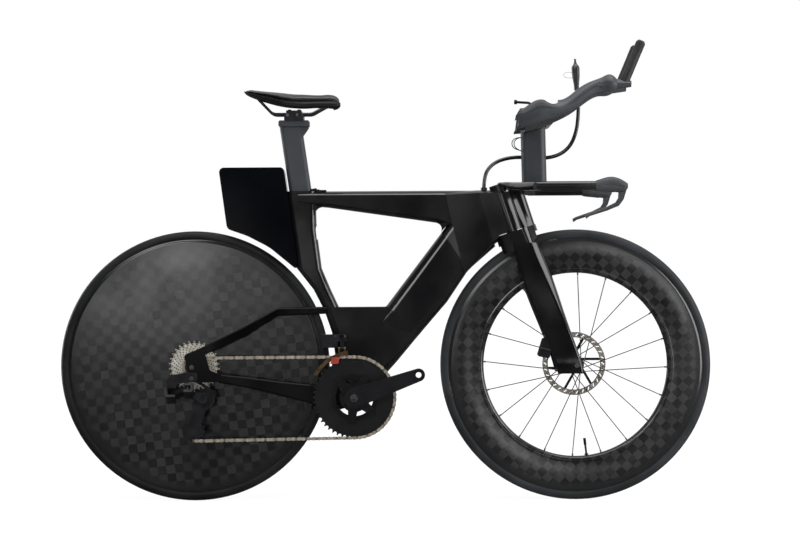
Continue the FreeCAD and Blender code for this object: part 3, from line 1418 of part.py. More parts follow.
def crank_right():
    """Drive-side arm with its axle and four-armed spider."""
    body = crank_bar(radians(CRANK_ANGLE), -CRANK_OUTER_Y, -CRANK_INNER_Y)
    axle = cylinder_y(CRANK_AXLE_RADIUS, (BB_X, BB_Z), -CRANK_INNER_Y, CRANK_OUTER_Y - 1)
    collar = cylinder_y(CRANK_BOSS_RADIUS - 6, (BB_X, BB_Z), -CRANK_INNER_Y, -BB_SHELL_WIDTH / 2 - MOVING_GAP)
    arms = []
    for turn, spot in zip(SPIDER_ARMS, ring_bolt_places()):
        angle = radians(turn)
        side = V(-sin(angle), 0, cos(angle))
        root = at((BB_X, BB_Z), -CRANK_INNER_Y)
        tip = at(spot, -CRANK_INNER_Y)
        corners = [root + side * 17, tip + side * 9, tip - side * 9, root - side * 17]
        depth = V(0, RING_FACE + CRANK_INNER_Y, 0)
        arms.append(Part.Face(Part.makePolygon(corners + corners[:1])).extrude(depth))
        arms.append(cylinder_y(9, spot, -CRANK_INNER_Y, RING_FACE))
    body = body.multiFuse([axle, collar] + arms)
    radius = RING_BOLT_RADIUS + SEAT_CLEARANCE
    holes = [cylinder_y(radius, spot, -CRANK_INNER_Y - 5, 0) for spot in ring_bolt_places()]
    return cut_all(body, holes)


def crank_left():
    """Opposite arm, clamped on the axle."""
    body = crank_bar(radians(CRANK_ANGLE) + pi, CRANK_INNER_Y, CRANK_OUTER_Y)
    return body.cut(cylinder_y(CRANK_AXLE_RADIUS + SEAT_CLEARANCE, (BB_X, BB_Z), 0, 100))


def chainring(teeth, y, pins, band_radius):
    """Toothed ring with a thicker band carrying its bolt holes."""
    phase = phase_of(pins, (BB_X, BB_Z), teeth, y) if teeth == BIG_RING_TEETH else 0.0
    plate = sprocket(teeth, (BB_X, BB_Z), y, RING_INNER_RADIUS - 3, phase)
    band = ring_y(band_radius, RING_INNER_RADIUS - 3, (BB_X, BB_Z), y - RING_BAND / 2, y + RING_BAND / 2)
    holes = [cylinder_y(RING_BOLT_RADIUS + SEAT_CLEARANCE, spot, y - 9, y + 9) for spot in ring_bolt_places()]
    return cut_all(plate.fuse(band), holes)


def chainring_bolts():
    low = -CRANK_INNER_Y
    high = RING_Y + RING_SPACING + RING_BAND / 2
    return [cylinder_y(RING_BOLT_RADIUS, spot, low, high) for spot in ring_bolt_places()]


# Rear derailleur, in axes where Z is along its slanted link pivots

def derailleur_matrix():
    x, y, z = LINK_PIVOT
    foot = V(REAR_X + x, y, WHEEL_RADIUS + z)
    return FreeCAD.Placement(foot, FreeCAD.Rotation(V(1, 0, 0), -LINK_TILT)).toMatrix()


def slanted(shape):
    return shape.transformed(derailleur_matrix())


LINK_END = V(LINK_LENGTH * cos(radians(LINK_REST)), -LINK_LENGTH * sin(radians(LINK_REST)), 0)
EAR_INNER = LINK_HEIGHT / 2 + MOVING_GAP
EAR_OUTER = EAR_INNER + 7


def derailleur_link(start):
    """One link of the parallelogram, between its two pivots."""
    end = start + LINK_END
    half = LINK_HEIGHT / 2
    body = Part.makeCylinder(LINK_RADIUS, LINK_HEIGHT, start - V(0, 0, half))
    body = body.fuse(Part.makeCylinder(LINK_RADIUS, LINK_HEIGHT, end - V(0, 0, half)))
    side = V(0, 0, 1).cross(LINK_END).normalize() * (LINK_RADIUS - 1)
    low = V(0, 0, -half)
    corners = [start + side + low, end + side + low, end - side + low, start - side + low]
    body = body.fuse(Part.Face(Part.makePolygon(corners + corners[:1])).extrude(V(0, 0, LINK_HEIGHT)))
    for spot in (start, end):
        body = body.cut(Part.makeCylinder(LINK_PIN_RADIUS + RUNNING_CLEARANCE, 40, spot - V(0, 0, 20)))
    return slanted(body)


def link_starts():
    return V(0, 0, 0), V(0, LINK_SPACING, 0)


def derailleur_body():
    """Fixed body with the link pins, hung from the dropout by its hanger."""
    back = -LINK_RADIUS - 2.5
    ears = block((back - 5, 9), (-9, LINK_SPACING + 9), (-EAR_OUTER, EAR_OUTER))
    ears = ears.cut(block((back, 20), (-20, LINK_SPACING + 20), (-EAR_INNER, EAR_INNER)))
    for spot in link_starts():
        ears = ears.fuse(Part.makeCylinder(LINK_PIN_RADIUS, 2 * EAR_OUTER, spot - V(0, 0, EAR_OUTER)))
    face = -REAR_HUB_HALF - DROPOUT_THICKNESS
    hanger = slab([rear(14, -14), rear(14, -34), rear(-44, -42), rear(-60, -40), rear(-56, -20), rear(-10, -12)],
                  [5, 7, 6, 8, 8, 5], face - 7, face)
    neck = slab([rear(-38, -24), rear(-40, -62), rear(-62, -62), rear(-60, -24)], [6, 4, 6, 8], face - 7, face + 12)
    links_room = block((back, 60), (-40, LINK_SPACING + 40), (-EAR_INNER, EAR_INNER))
    body = hanger.fuse(neck).cut(slanted(links_room)).fuse(slanted(ears))
    return max(body.Solids, key=lambda s: s.Volume)


def derailleur_knuckle():
    """Moving knuckle with pins for both links and the cage pivot bore."""
    wall = LINK_RADIUS + 2.5
    spots = [start + LINK_END for start in link_starts()]
    x = LINK_END.x
    ears = block((x - 9, x + wall + 5), (spots[0].y - 9, spots[1].y + 9), (-EAR_OUTER, EAR_OUTER))
    room = block((x - 20, x + wall), (spots[0].y - 20, spots[1].y + 20), (-EAR_INNER, EAR_INNER))
    ears = ears.cut(room)
    for i, spot in enumerate(spots):
        pin = LINK_PIN_RADIUS - 0.25 * i
        ears = ears.fuse(Part.makeCylinder(pin, 2 * EAR_OUTER, spot - V(0, 0, EAR_OUTER)))
    guide = rear(*GUIDE_PULLEY)
    low = COG_Y - CAGE_HALF_GAP - CAGE_PLATE - MOVING_GAP - 18
    high = low + 18
    boss = cylinder_y(13, guide, low, high)
    neck = slab([rear(0, -60), rear(26, -64), rear(26, -90), rear(0, -74)], [4, 4, 4, 4], low, high)
    way_out = block((-20, x + wall), (-60, LINK_SPACING + 40), (-EAR_INNER, EAR_INNER))
    body = boss.fuse(neck).cut(slanted(way_out)).fuse(slanted(ears))
    body = max(body.Solids, key=lambda s: s.Volume)
    return body.cut(cylinder_y(CAGE_PIVOT_RADIUS + RUNNING_CLEARANCE, guide, low - 40, high + 5))


def cage(cage_angle):
    """Two cage plates on the pulley bolts, with the pivot shaft."""
    guide = rear(*GUIDE_PULLEY)
    tension = chain_wheels(cage_angle)[1][0]
    solids = []
    outer_plate = COG_Y - CAGE_HALF_GAP - CAGE_PLATE
    inner_plate = COG_Y + CAGE_HALF_GAP
    for low, upper, lower in ((outer_plate, 19, 16), (inner_plate, 14, 12)):
        high = low + CAGE_PLATE
        side = V(-sin(cage_angle), 0, cos(cage_angle))
        corners = [at(guide, low) + side * (upper - 3), at(tension, low) + side * (lower - 3),
                   at(tension, low) - side * (lower - 3), at(guide, low) - side * (upper - 3)]
        bar = Part.Face(Part.makePolygon(corners + corners[:1])).extrude(V(0, CAGE_PLATE, 0))
        solids += [bar, cylinder_y(upper, guide, low, high), cylinder_y(lower, tension, low, high)]
    for spot in (guide, tension):
        solids.append(cylinder_y(3, spot, COG_Y - CAGE_HALF_GAP - CAGE_PLATE, COG_Y + CAGE_HALF_GAP + CAGE_PLATE))
    inner = COG_Y - CAGE_HALF_GAP - CAGE_PLATE
    solids.append(cylinder_y(CAGE_PIVOT_RADIUS, guide, inner - 16, inner))
    return solids[0].multiFuse(solids[1:])


def pulley(centre, pins):
    phase = phase_of(pins, centre, PULLEY_TEETH, COG_Y)
    wheel = sprocket(PULLEY_TEETH, centre, COG_Y, 3 + RUNNING_CLEARANCE, phase)
    hub = ring_y(8, 3 + RUNNING_CLEARANCE, centre, COG_Y - CAGE_HALF_GAP + 0.4, COG_Y + CAGE_HALF_GAP - 0.4)
    return wheel.fuse(hub)


# Front derailleur

def sector(inner, outer, start, end, low, high):
    """Part of a ring about the crank axis."""
    middle = (start + end) / 2

    def spot(radius, angle):
        return V(BB_X + radius * cos(radians(angle)), low, BB_Z + radius * sin(radians(angle)))

    wire = Part.Wire([
        Part.Arc(spot(outer, start), spot(outer, middle), spot(outer, end)).toShape(),
        Part.LineSegment(spot(outer, end), spot(inner, end)).toShape(),
        Part.Arc(spot(inner, end), spot(inner, middle), spot(inner, start)).toShape(),
        Part.LineSegment(spot(inner, start), spot(outer, start)).toShape(),
    ])
    return Part.Face(wire).extrude(V(0, high - low, 0))


def fd_places():
    """World x, y and z of the upper pivot, and z of the lower one."""
    x = REAR_X + FD_PIVOT[0]
    z = WHEEL_RADIUS + FD_PIVOT[2]
    return x, FD_PIVOT[1], z, z - FD_LINK_LENGTH


def rod_x(x, y, z, radius):
    return rod(V(x[0], y, z), V(x[1], y, z), radius)


def fd_body(frame_body):
    """Front derailleur body on the side of the frame."""
    x, y, z, low = fd_places()
    half = FD_LINK_WIDTH / 2
    body = block((x - 50, x + half + 6), (y - 7, -12), (z - 8, z + 9))
    housing = block((x - 50, x - half - FD_HOUSING_GAP), (y - 7, -12), (z - FD_HOUSING_DROP, z + 9))
    body = body.fuse(housing).cut(frame_body)
    body = body.cut(cylinder_y(REAR_WHEEL_GAP, rear(0, 0), -TYRE_ARCH_HALF, TYRE_ARCH_HALF))
    body = max(body.Solids, key=lambda s: s.Volume)
    body = body.cut(block((x - half - MOVING_GAP, x + half + MOVING_GAP), (y - 20, y + 8), (z - 20, z + 7)))
    return body.fuse(rod_x((x - half - 4, x + half + 4), y, z, FD_PIN_RADIUS))


def fd_link():
    x, y, z, low = fd_places()
    half = FD_LINK_WIDTH / 2
    body = rod_x((x - half, x + half), y, z, FD_EYE_RADIUS).fuse(rod_x((x - half, x + half), y, low, FD_EYE_RADIUS))
    body = body.fuse(block((x - half, x + half), (y - 3.2, y + 3.2), (low, z)))
    for height in (z, low):
        body = body.cut(rod_x((x - 20, x + 20), y, height, FD_PIN_RADIUS + RUNNING_CLEARANCE))
    return body


def fd_cage():
    """Cage plates either side of the chain, bridged above and behind it, with the lower link pin."""
    x, y, z, low = fd_places()
    inner, outer = FD_CAGE_RADII
    start, end = FD_CAGE_ANGLES
    left = RING_Y + FD_HALF_GAP
    right = RING_Y - FD_HALF_GAP
    pieces = [sector(inner, outer + 3, start, end, left, left + FD_PLATE),
              sector(inner, outer + 3, start, end, right - FD_PLATE, right),
              sector(outer, outer + 3, start + 1, start + 13, right - FD_PLATE, left + FD_PLATE),
              sector(outer - 6, outer + 3, end - 4, end, right - FD_PLATE, left + FD_PLATE)]
    half = FD_LINK_WIDTH / 2 + MOVING_GAP
    foot = BB_Z + sqrt((outer + 1) ** 2 - (x + half - BB_X) ** 2)
    for ear in ((x - half - 4, x - half), (x + half, x + half + 4)):
        pieces.append(block(ear, (y - 4.5, y + 4.5), (foot - 3, low)))
        pieces.append(rod_x(ear, y, low, FD_EYE_RADIUS))
    body = pieces[0].multiFuse(pieces[1:]).cut(rod_x((x - half, x + half), y, low, FD_EYE_RADIUS + MOVING_GAP))
    return body.fuse(rod_x((x - half - 4, x + half + 4), y, low, FD_PIN_RADIUS))


# Hose, bite valve and small fittings

def hose_port(frame_body):
    """Collar seated on the top tube, with its spigot in the frame."""
    x, y, z = HOSE_ROUTE[0]
    floor = WHEEL_RADIUS + TOP_LINE
    collar = Part.makeCylinder(PORT_RADIUS, z - floor, V(x, y, floor))
    return collar.fuse(Part.makeCylinder(PORT_RADIUS - 2 - SEAT_CLEARANCE, 12, V(x, y, floor - 11))).cut(frame_body)


def bite_valve():
    """Turned valve body standing on the hose end, with a narrow mouth."""
    start = V(*HOSE_ROUTE[-1])
    way = V(-4, -1, BITE_LENGTH).normalize()
    side = V(BITE_LENGTH, 0, 4).normalize()
    shares = [(0.0, 0.66), (0.18, 0.68), (0.42, 0.92), (0.62, 1.0), (0.76, 0.88), (0.83, 0.5), (0.88, 0.34), (1.0, 0.3)]
    spots = [start + way * (BITE_LENGTH * along) + side * (BITE_RADIUS * across) for along, across in shares]
    curve = Part.BSplineCurve()
    curve.interpolate(spots)
    mouth = start + way * BITE_LENGTH
    edges = [curve.toShape(), Part.LineSegment(spots[-1], mouth).toShape(),
             Part.LineSegment(mouth, start).toShape(), Part.LineSegment(start, spots[0]).toShape()]
    return Part.Face(Part.Wire(edges)).revolve(start, way, 360)


def accessory_strut(bracket):
    """Bent rod standing on the bracket between the cups, with a bolt at its end."""
    spots = [at(by_bracket(x, z), 0) for x, z in ((-96, 11), (-96, 66), (-113, 77.5), (-143, 79.5), (-150, 79.8))]
    rod_shape = bent_tube([tuple(spot) for spot in spots[:4]], STRUT_RADIUS, "strut", 9.0)
    bolt = rod(spots[3], spots[4], STRUT_RADIUS + 2.4)
    body = rod_shape.cut(bracket)
    return max(body.Solids, key=lambda s: s.Volume).fuse(bolt)


# Wire routes: (forward of the front axle, y, up from the bracket height)
WIRE_ROUTES = [
    [(-125, 9, -9), (-142, 9, -8), (-155, 9, -16), (-156, 9, -29), (-147, 9, -39), (-128, 9, -43)],
    [(-125, -9, -9), (-140, -9, -10), (-151, -9, -19), (-151, -9, -31), (-143, -9, -40), (-128, -9, -46)],
]


def riser_wire(route, column):
    """Thin wire looping out of the column and back into it."""
    points = [tuple(at(by_bracket(x, z), y)) for x, y, z in route]
    wire = bent_tube(points, WIRE_RADIUS, "wire").cut(column)
    return max(wire.Solids, key=lambda s: s.Volume)


def cockpit_bolts():
    """Elbow bolts on the base bar."""
    spot = front(-103, GRIP_LINE)
    return [cylinder_y(4.2, spot, 204, 209), cylinder_y(4.2, spot, -209, -204)]


def main():
    os.makedirs("parts", exist_ok=True)
    frame_body = main_frame()
    save("main_frame", frame_body)
    stays = [chainstay(side, frame_body) for side in (-1, 1)]
    save("chainstays", *stays)
    save("seatstays", *[seatstay(side, frame_body, stay) for side, stay in zip((-1, 1), stays)])
    save("seat_clamp", seat_clamp())
    save("bearings", *bearings())
    save("rear_axle", thru_axle(REAR_HUB_HALF, rear(0, 0), DROPOUT_THICKNESS))
    save("rear_brake_caliper", caliper([rear(56, -6), rear(96, -34), rear(108, 10), rear(66, 34)],
                                       rear(0, 0), REAR_ROTOR_Y, 11, [stays[1]]))
    save("storage_box_shell", storage_box(frame_body))
    save("storage_box_door", storage_door(frame_body))
    port = hose_port(frame_body)
    save("hose_port", port)
    save("front_derailleur_body", fd_body(frame_body))
    save("fd_link", fd_link())
    save("fd_cage", fd_cage())

    save("seatpost", seat_post())
    save("saddle_clamp", *saddle_clamp())
    save("saddle_rails", saddle_rail(-1), saddle_rail(1))
    rails = [saddle_rail(-1, SEAT_CLEARANCE), saddle_rail(1, SEAT_CLEARANCE)]
    pad = cut_all(saddle_loft(0.0, SADDLE_PAD_DEPTH, 0.0), rails)
    save("saddle_pad", pad)
    shell = cut_all(saddle_loft(SADDLE_SHELL_START, 1.0, SADDLE_SHELL_TRIM), [pad, saddle_hollow()] + rails)
    save("saddle_shell", max(shell.Solids, key=lambda s: s.Volume))

    bar = base_bar()
    bolts = cockpit_bolts()
    bar = cut_all(bar, bolts)
    save("base_bar", bar)
    fork_body = fork(bar)
    save("fork", fork_body)
    save("front_axle", thru_axle(FRONT_HUB_HALF, front(0, 0), LEG_CLAMP))
    save("front_brake_caliper", caliper([front(-94, 20), front(-62, 12), front(-54, 62), front(-80, 66)],
                                        front(0, 0), FRONT_ROTOR_Y, 10, [fork_body]))
    left = extension()
    right = mirrored(left)
    save("extension_left", left)
    save("extension_right", right)
    bracket = arm_bracket(left, right)
    save("arm_bracket", bracket)
    column = riser(bar, bracket)
    save("riser_column", column)
    save("arm_pads", arm_pad(left), mirrored(arm_pad(left)))
    save("upright_grips", upright_grip(), mirrored(upright_grip()))
    save("shift_button_left", shift_button())
    save("shift_button_right", mirrored(shift_button()))
    save("brake_hoods", hood(), mirrored(hood()))
    save("brake_lever_left", lever())
    save("brake_lever_right", mirrored(lever()))
    save("cockpit_fittings", accessory_strut(bracket), *bolts)
    save("riser_wires", *[riser_wire(route, column) for route in WIRE_ROUTES])
    hose = bent_tube(HOSE_ROUTE, HOSE_RADIUS, "hose").cut(port)
    save("hydration_hose", hose)
    save("bite_valve", bite_valve().cut(hose))

    save("front_tyre", tyre(front(0, 0)))
    save("front_rim", front_rim())
    hub = front_hub()
    save("front_hub", hub)
    save("front_spokes", *front_spokes(hub))
    save("front_rotor", rotor(front(0, 0), FRONT_ROTOR_Y))
    save("front_valve", valve())
    save("rear_tyre", tyre(rear(0, 0)))
    save("rear_disc", rear_disc())
    save("rear_hub", rear_hub())
    save("rear_rotor", rotor(rear(0, 0), REAR_ROTOR_Y))

    cage_angle, links = solved_cage_angle()
    print("chain links", links, "cage angle %.2f" % degrees(cage_angle))
    links_solids, pins = chain(cage_angle, links)
    save("chain", *links_solids)
    save("cassette", *cassette(pins))
    save("crank_arm_right", crank_right())
    save("crank_arm_left", crank_left())
    big = chainring(BIG_RING_TEETH, RING_Y, pins, BIG_RING_BAND)
    small = chainring(SMALL_RING_TEETH, RING_Y + RING_SPACING, pins, SMALL_RING_BAND)
    save("chainrings", big, small, *chainring_bolts())
    save("rear_derailleur_body", derailleur_body())
    starts = link_starts()
    save("rd_outer_link", derailleur_link(starts[0]))
    save("rd_inner_link", derailleur_link(starts[1]))
    save("rd_knuckle", derailleur_knuckle())
    save("rd_cage", cage(cage_angle))
    wheels = chain_wheels(cage_angle)
    save("guide_pulley", pulley(wheels[2][0], pins))
    save("tension_pulley", pulley(wheels[1][0], pins))


main()
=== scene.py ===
import math
import bmesh
import bpy
from mathutils import Matrix, Vector


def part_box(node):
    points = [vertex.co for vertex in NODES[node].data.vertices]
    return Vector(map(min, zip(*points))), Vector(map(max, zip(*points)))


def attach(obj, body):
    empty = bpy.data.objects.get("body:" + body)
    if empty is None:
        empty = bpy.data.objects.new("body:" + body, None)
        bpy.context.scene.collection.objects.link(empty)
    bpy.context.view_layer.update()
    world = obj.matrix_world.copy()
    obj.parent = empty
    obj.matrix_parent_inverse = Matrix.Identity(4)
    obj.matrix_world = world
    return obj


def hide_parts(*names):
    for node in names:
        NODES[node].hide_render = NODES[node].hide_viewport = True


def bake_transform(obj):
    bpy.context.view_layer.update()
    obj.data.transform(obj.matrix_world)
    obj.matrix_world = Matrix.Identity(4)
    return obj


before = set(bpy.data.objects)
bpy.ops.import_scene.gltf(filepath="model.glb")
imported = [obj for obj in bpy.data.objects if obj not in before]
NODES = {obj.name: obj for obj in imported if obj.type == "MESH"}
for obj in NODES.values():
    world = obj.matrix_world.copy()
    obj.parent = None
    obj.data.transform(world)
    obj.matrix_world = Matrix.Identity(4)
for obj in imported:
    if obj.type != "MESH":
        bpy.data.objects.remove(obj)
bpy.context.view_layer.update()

SCENE = bpy.context.scene

# Sizes in metres, shared by the pieces and the finishes
FRONT_AXLE = (0.478, 0.339)
REAR_AXLE = (-0.478, 0.339)
CRANK_AXLE = (-0.0755, 0.261)
ROTOR_TRACK_INNER = 0.066
DISC_SQUARE = 0.0216
RIM_SQUARE = 0.0200
HOSE_DIAMETER = 0.0095
WIRE_DIAMETER = 0.0024
COG_STEP = 0.0052
LOOP_DIAMETER = 0.0010
# CAGE_REACH and CAGE_END bound the chain pieces painted black as shade inside the changer's cage.
CAGE_REACH = (-0.425, 0.178, 0.315)
CAGE_END = -0.482
BEAD_ROLL = (0.3105, 0.3180)
BEAD_DROP = 0.0018
FIBRE_DEPTH = 0.000002
SIDEWALL_LINE = 0.3195
SIDEWALL_STEP = 0.0045
TREAD_START = 0.3305
HATCH_PITCH = 0.0034
HATCH_START = (0.057, 0.060)
COG_CENTRE = 0.018
RING_TIPS = 0.0985
BOX_INNER_HALF = 0.0206
BB_BORE = 0.022
FORK_EDGE = ((0.390, 0.607), (0.919, 0.394))
GRIP_FOOT = Vector((0.597, 0.0, 1.039))
GRIP_WAY = Vector((math.cos(math.radians(67)), 0.0, math.sin(math.radians(67))))
GRIP_SPREAD = 0.062
GRIP_RADIUS = 0.0117
GRIP_RINGS = (0.087, 0.1065)
CHANNEL_DEPTH = 0.0050
CHANNEL_HALF_WIDTH = 0.0085
CAMERA_PLACE = (0.1037, -4.8187, 0.5966)
CAMERA_DEGREES = (0.7683, 0.1165, -0.2792)
CAMERA_LENS = 86.18

HOSE_ROUTE = [
    (0.251, 0.000, 0.784), (0.252, 0.002, 0.810), (0.264, 0.009, 0.836), (0.292, 0.020, 0.855),
    (0.336, 0.029, 0.863), (0.386, 0.031, 0.858), (0.434, 0.027, 0.862), (0.468, 0.020, 0.884),
    (0.485, 0.014, 0.923), (0.490, 0.011, 0.967), (0.490, 0.010, 1.004), (0.486, 0.009, 1.029),
]
WIRE_ROUTES = {
    "riser_wire_left": [(0.353, 0.009, 0.910), (0.336, 0.009, 0.911), (0.323, 0.009, 0.903),
                        (0.322, 0.009, 0.890), (0.331, 0.009, 0.880), (0.350, 0.009, 0.876)],
    "riser_wire_right": [(0.353, -0.009, 0.910), (0.338, -0.009, 0.909), (0.327, -0.009, 0.900),
                         (0.327, -0.009, 0.888), (0.335, -0.009, 0.879), (0.350, -0.009, 0.873)],
}
PULL_LOOP_ROUTE = [
    (0.4750, 0.007, 1.0725), (0.4670, 0.006, 1.0740), (0.4570, 0.005, 1.0725), (0.4515, 0.004, 1.0665),
    (0.4555, 0.003, 1.0605), (0.4660, 0.004, 1.0585), (0.4750, 0.006, 1.0595),
]


# Node group helpers

def link(tree, a, b):
    tree.links.new(a, b)


def node(tree, kind, **values):
    made = tree.nodes.new(kind)
    for name, value in values.items():
        setattr(made, name, value)
    return made


def feed(tree, value, socket):
    """Gives an input its value: another node's output, a colour or a number."""
    if isinstance(value, bpy.types.NodeSocket):
        link(tree, value, socket)
    elif isinstance(value, tuple):
        socket.default_value = (*value, 1.0)
    else:
        socket.default_value = value


def sum_of(tree, operation, a, b=None):
    """Math node of one or two values."""
    made = node(tree, "ShaderNodeMath", operation=operation)
    feed(tree, a, made.inputs[0])
    if b is not None:
        feed(tree, b, made.inputs[1])
    return made.outputs[0]


def ramp(tree, value, low, high, to_low, to_high, smooth=False):
    made = node(tree, "ShaderNodeMapRange", clamp=True)
    if smooth:
        made.interpolation_type = "SMOOTHSTEP"
    link(tree, value, made.inputs["Value"])
    for name, number in (("From Min", low), ("From Max", high), ("To Min", to_low), ("To Max", to_high)):
        feed(tree, number, made.inputs[name])
    return made.outputs["Result"]


def blend_colours(tree, share, a, b, blend="MIX"):
    made = node(tree, "ShaderNodeMix", data_type="RGBA", blend_type=blend)
    feed(tree, share, made.inputs["Factor"])
    colours = [s for s in made.inputs if s.type == "RGBA"]
    for socket, value in zip(colours, (a, b)):
        feed(tree, value, socket)
    return [s for s in made.outputs if s.type == "RGBA"][0]


def new_group(name, inputs, outputs):
    tree = bpy.data.node_groups.new(name, "ShaderNodeTree")
    for label, kind, value in inputs:
        socket = tree.interface.new_socket(label, in_out="INPUT", socket_type=kind)
        if value is not None:
            socket.default_value = value
    for label, kind in outputs:
        tree.interface.new_socket(label, in_out="OUTPUT", socket_type=kind)
    return tree, tree.nodes.new("NodeGroupInput").outputs, tree.nodes.new("NodeGroupOutput").inputs


def mottle_group():
    """Slow colour drift with a fine grain, for paint, rubber and metal."""
    tree, given, out = new_group(
        "mottle",
        [("Vector", "NodeSocketVector", None), ("Patch Scale", "NodeSocketFloat", 14.0),
         ("Grain Scale", "NodeSocketFloat", 900.0), ("Dark", "NodeSocketColor", None),
         ("Light", "NodeSocketColor", None), ("Smooth", "NodeSocketFloat", 0.2),
         ("Rough", "NodeSocketFloat", 0.4)],
        [("Colour", "NodeSocketColor"), ("Roughness", "NodeSocketFloat"), ("Grain", "NodeSocketFloat")])
    patch = node(tree, "ShaderNodeTexNoise")
    patch.inputs["Detail"].default_value = 4.0
    link(tree, given["Vector"], patch.inputs["Vector"])
    link(tree, given["Patch Scale"], patch.inputs["Scale"])
    grain = node(tree, "ShaderNodeTexNoise")
    grain.inputs["Detail"].default_value = 2.0
    link(tree, given["Vector"], grain.inputs["Vector"])
    link(tree, given["Grain Scale"], grain.inputs["Scale"])
    share = ramp(tree, patch.outputs["Fac"], 0.34, 0.68, 0.0, 1.0, smooth=True)
    link(tree, blend_colours(tree, share, given["Dark"], given["Light"]), out["Colour"])
    both = sum_of(tree, "ADD", sum_of(tree, "MULTIPLY", share, 0.6),
                  sum_of(tree, "MULTIPLY", grain.outputs["Fac"], 0.4))
    link(tree, ramp(tree, both, 0.0, 1.0, given["Smooth"], given["Rough"]), out["Roughness"])
    link(tree, grain.outputs["Fac"], out["Grain"])
    return tree


def spread_tow_group():
    """Square patches of flat carbon tow, alternately laid along and across."""
    tree, given, out = new_group(
        "spread_tow",
        [("Vector", "NodeSocketVector", None), ("Square", "NodeSocketFloat", DISC_SQUARE),
         ("Turn", "NodeSocketFloat", 0.14)],
        [("Shade", "NodeSocketFloat"), ("Fibre", "NodeSocketFloat")])
    spin = node(tree, "ShaderNodeVectorRotate", rotation_type="Y_AXIS")
    link(tree, given["Vector"], spin.inputs["Vector"])
    link(tree, given["Turn"], spin.inputs["Angle"])
    parts = node(tree, "ShaderNodeSeparateXYZ")
    link(tree, spin.outputs[0], parts.inputs[0])
    u = sum_of(tree, "DIVIDE", parts.outputs["X"], given["Square"])
    v = sum_of(tree, "DIVIDE", parts.outputs["Z"], given["Square"])
    cell_u = sum_of(tree, "FLOOR", u)
    cell_v = sum_of(tree, "FLOOR", v)
    odd = sum_of(tree, "FLOORED_MODULO", sum_of(tree, "ADD", cell_u, cell_v), 2.0)
    spot = node(tree, "ShaderNodeCombineXYZ")
    link(tree, cell_u, spot.inputs["X"])
    link(tree, cell_v, spot.inputs["Y"])
    chance = node(tree, "ShaderNodeTexWhiteNoise", noise_dimensions="3D")
    link(tree, spot.outputs[0], chance.inputs["Vector"])
    mixed = sum_of(tree, "ADD", sum_of(tree, "MULTIPLY", odd, 0.72),
                   sum_of(tree, "MULTIPLY", chance.outputs["Value"], 0.28))
    along = sum_of(tree, "SINE", sum_of(tree, "MULTIPLY", u, 150.0))
    across = sum_of(tree, "SINE", sum_of(tree, "MULTIPLY", v, 150.0))
    fibre = ramp(tree, odd, 0.0, 1.0, along, across)
    streak = sum_of(tree, "MULTIPLY", fibre, 0.04)
    link(tree, sum_of(tree, "ADD", mixed, streak), out["Shade"])
    link(tree, fibre, out["Fibre"])
    return tree


def about_axle_group():
    """Distance from a wheel or crank axle, and the turn about it."""
    tree, given, out = new_group(
        "about_axle",
        [("Vector", "NodeSocketVector", None), ("Axle X", "NodeSocketFloat", 0.0),
         ("Axle Z", "NodeSocketFloat", 0.0)],
        [("Radius", "NodeSocketFloat"), ("Turn", "NodeSocketFloat")])
    parts = node(tree, "ShaderNodeSeparateXYZ")
    link(tree, given["Vector"], parts.inputs[0])
    x = sum_of(tree, "SUBTRACT", parts.outputs["X"], given["Axle X"])
    z = sum_of(tree, "SUBTRACT", parts.outputs["Z"], given["Axle Z"])
    square = sum_of(tree, "ADD", sum_of(tree, "MULTIPLY", x, x), sum_of(tree, "MULTIPLY", z, z))
    link(tree, sum_of(tree, "SQRT", square), out["Radius"])
    link(tree, sum_of(tree, "ARCTAN2", z, x), out["Turn"])
    return tree


MOTTLE = mottle_group()
SPREAD_TOW = spread_tow_group()
ABOUT_AXLE = about_axle_group()


# Finishes

def bare_material(name, **plain):
    """Material with one Principled shader, its plain values set on its own sockets."""
    made = bpy.data.materials.new(name)
    made.use_nodes = True
    tree = made.node_tree
    tree.nodes.clear()
    shader = tree.nodes.new("ShaderNodeBsdfPrincipled")
    out = tree.nodes.new("ShaderNodeOutputMaterial")
    link(tree, shader.outputs[0], out.inputs[0])
    for label, value in plain.items():
        shader.inputs[label.replace("_", " ")].default_value = value
    return made, tree, shader


def object_vector(tree):
    return tree.nodes.new("ShaderNodeTexCoord").outputs["Object"]


def use_group(tree, group, **values):
    made = tree.nodes.new("ShaderNodeGroup")
    made.node_tree = group
    for label, value in values.items():
        feed(tree, value, made.inputs[label.replace("_", " ")])
    return made.outputs


def bump(tree, shader, height, depth, strength=0.5, facing=None):
    made = node(tree, "ShaderNodeBump")
    if facing:
        link(tree, facing, made.inputs["Normal"])
    made.inputs["Distance"].default_value = depth
    made.inputs["Strength"].default_value = strength
    link(tree, height, made.inputs["Height"])
    link(tree, made.outputs[0], shader.inputs["Normal"])


def mottled(name, dark, light, smooth, rough, patch=14.0, grain=900.0, depth=0.00004, **plain):
    """Finish whose colour and gloss drift slowly, with a fine grain raised on it."""
    made, tree, shader = bare_material(name, **plain)
    seen = use_group(tree, MOTTLE, Vector=object_vector(tree), Patch_Scale=patch, Grain_Scale=grain,
                     Dark=dark, Light=light, Smooth=smooth, Rough=rough)
    link(tree, seen["Colour"], shader.inputs["Base Color"])
    link(tree, seen["Roughness"], shader.inputs["Roughness"])
    bump(tree, shader, seen["Grain"], depth)
    return made


def flattened_normal(tree, share):
    """Surface normal with its part along the wheel plane scaled down: a shallow crown shades as flat."""
    scaled = node(tree, "ShaderNodeVectorMath", operation="MULTIPLY")
    link(tree, tree.nodes.new("ShaderNodeNewGeometry").outputs["Normal"], scaled.inputs[0])
    scaled.inputs[1].default_value = (share, 1.0, share)
    unit = node(tree, "ShaderNodeVectorMath", operation="NORMALIZE")
    link(tree, scaled.outputs[0], unit.inputs[0])
    return unit.outputs[0]


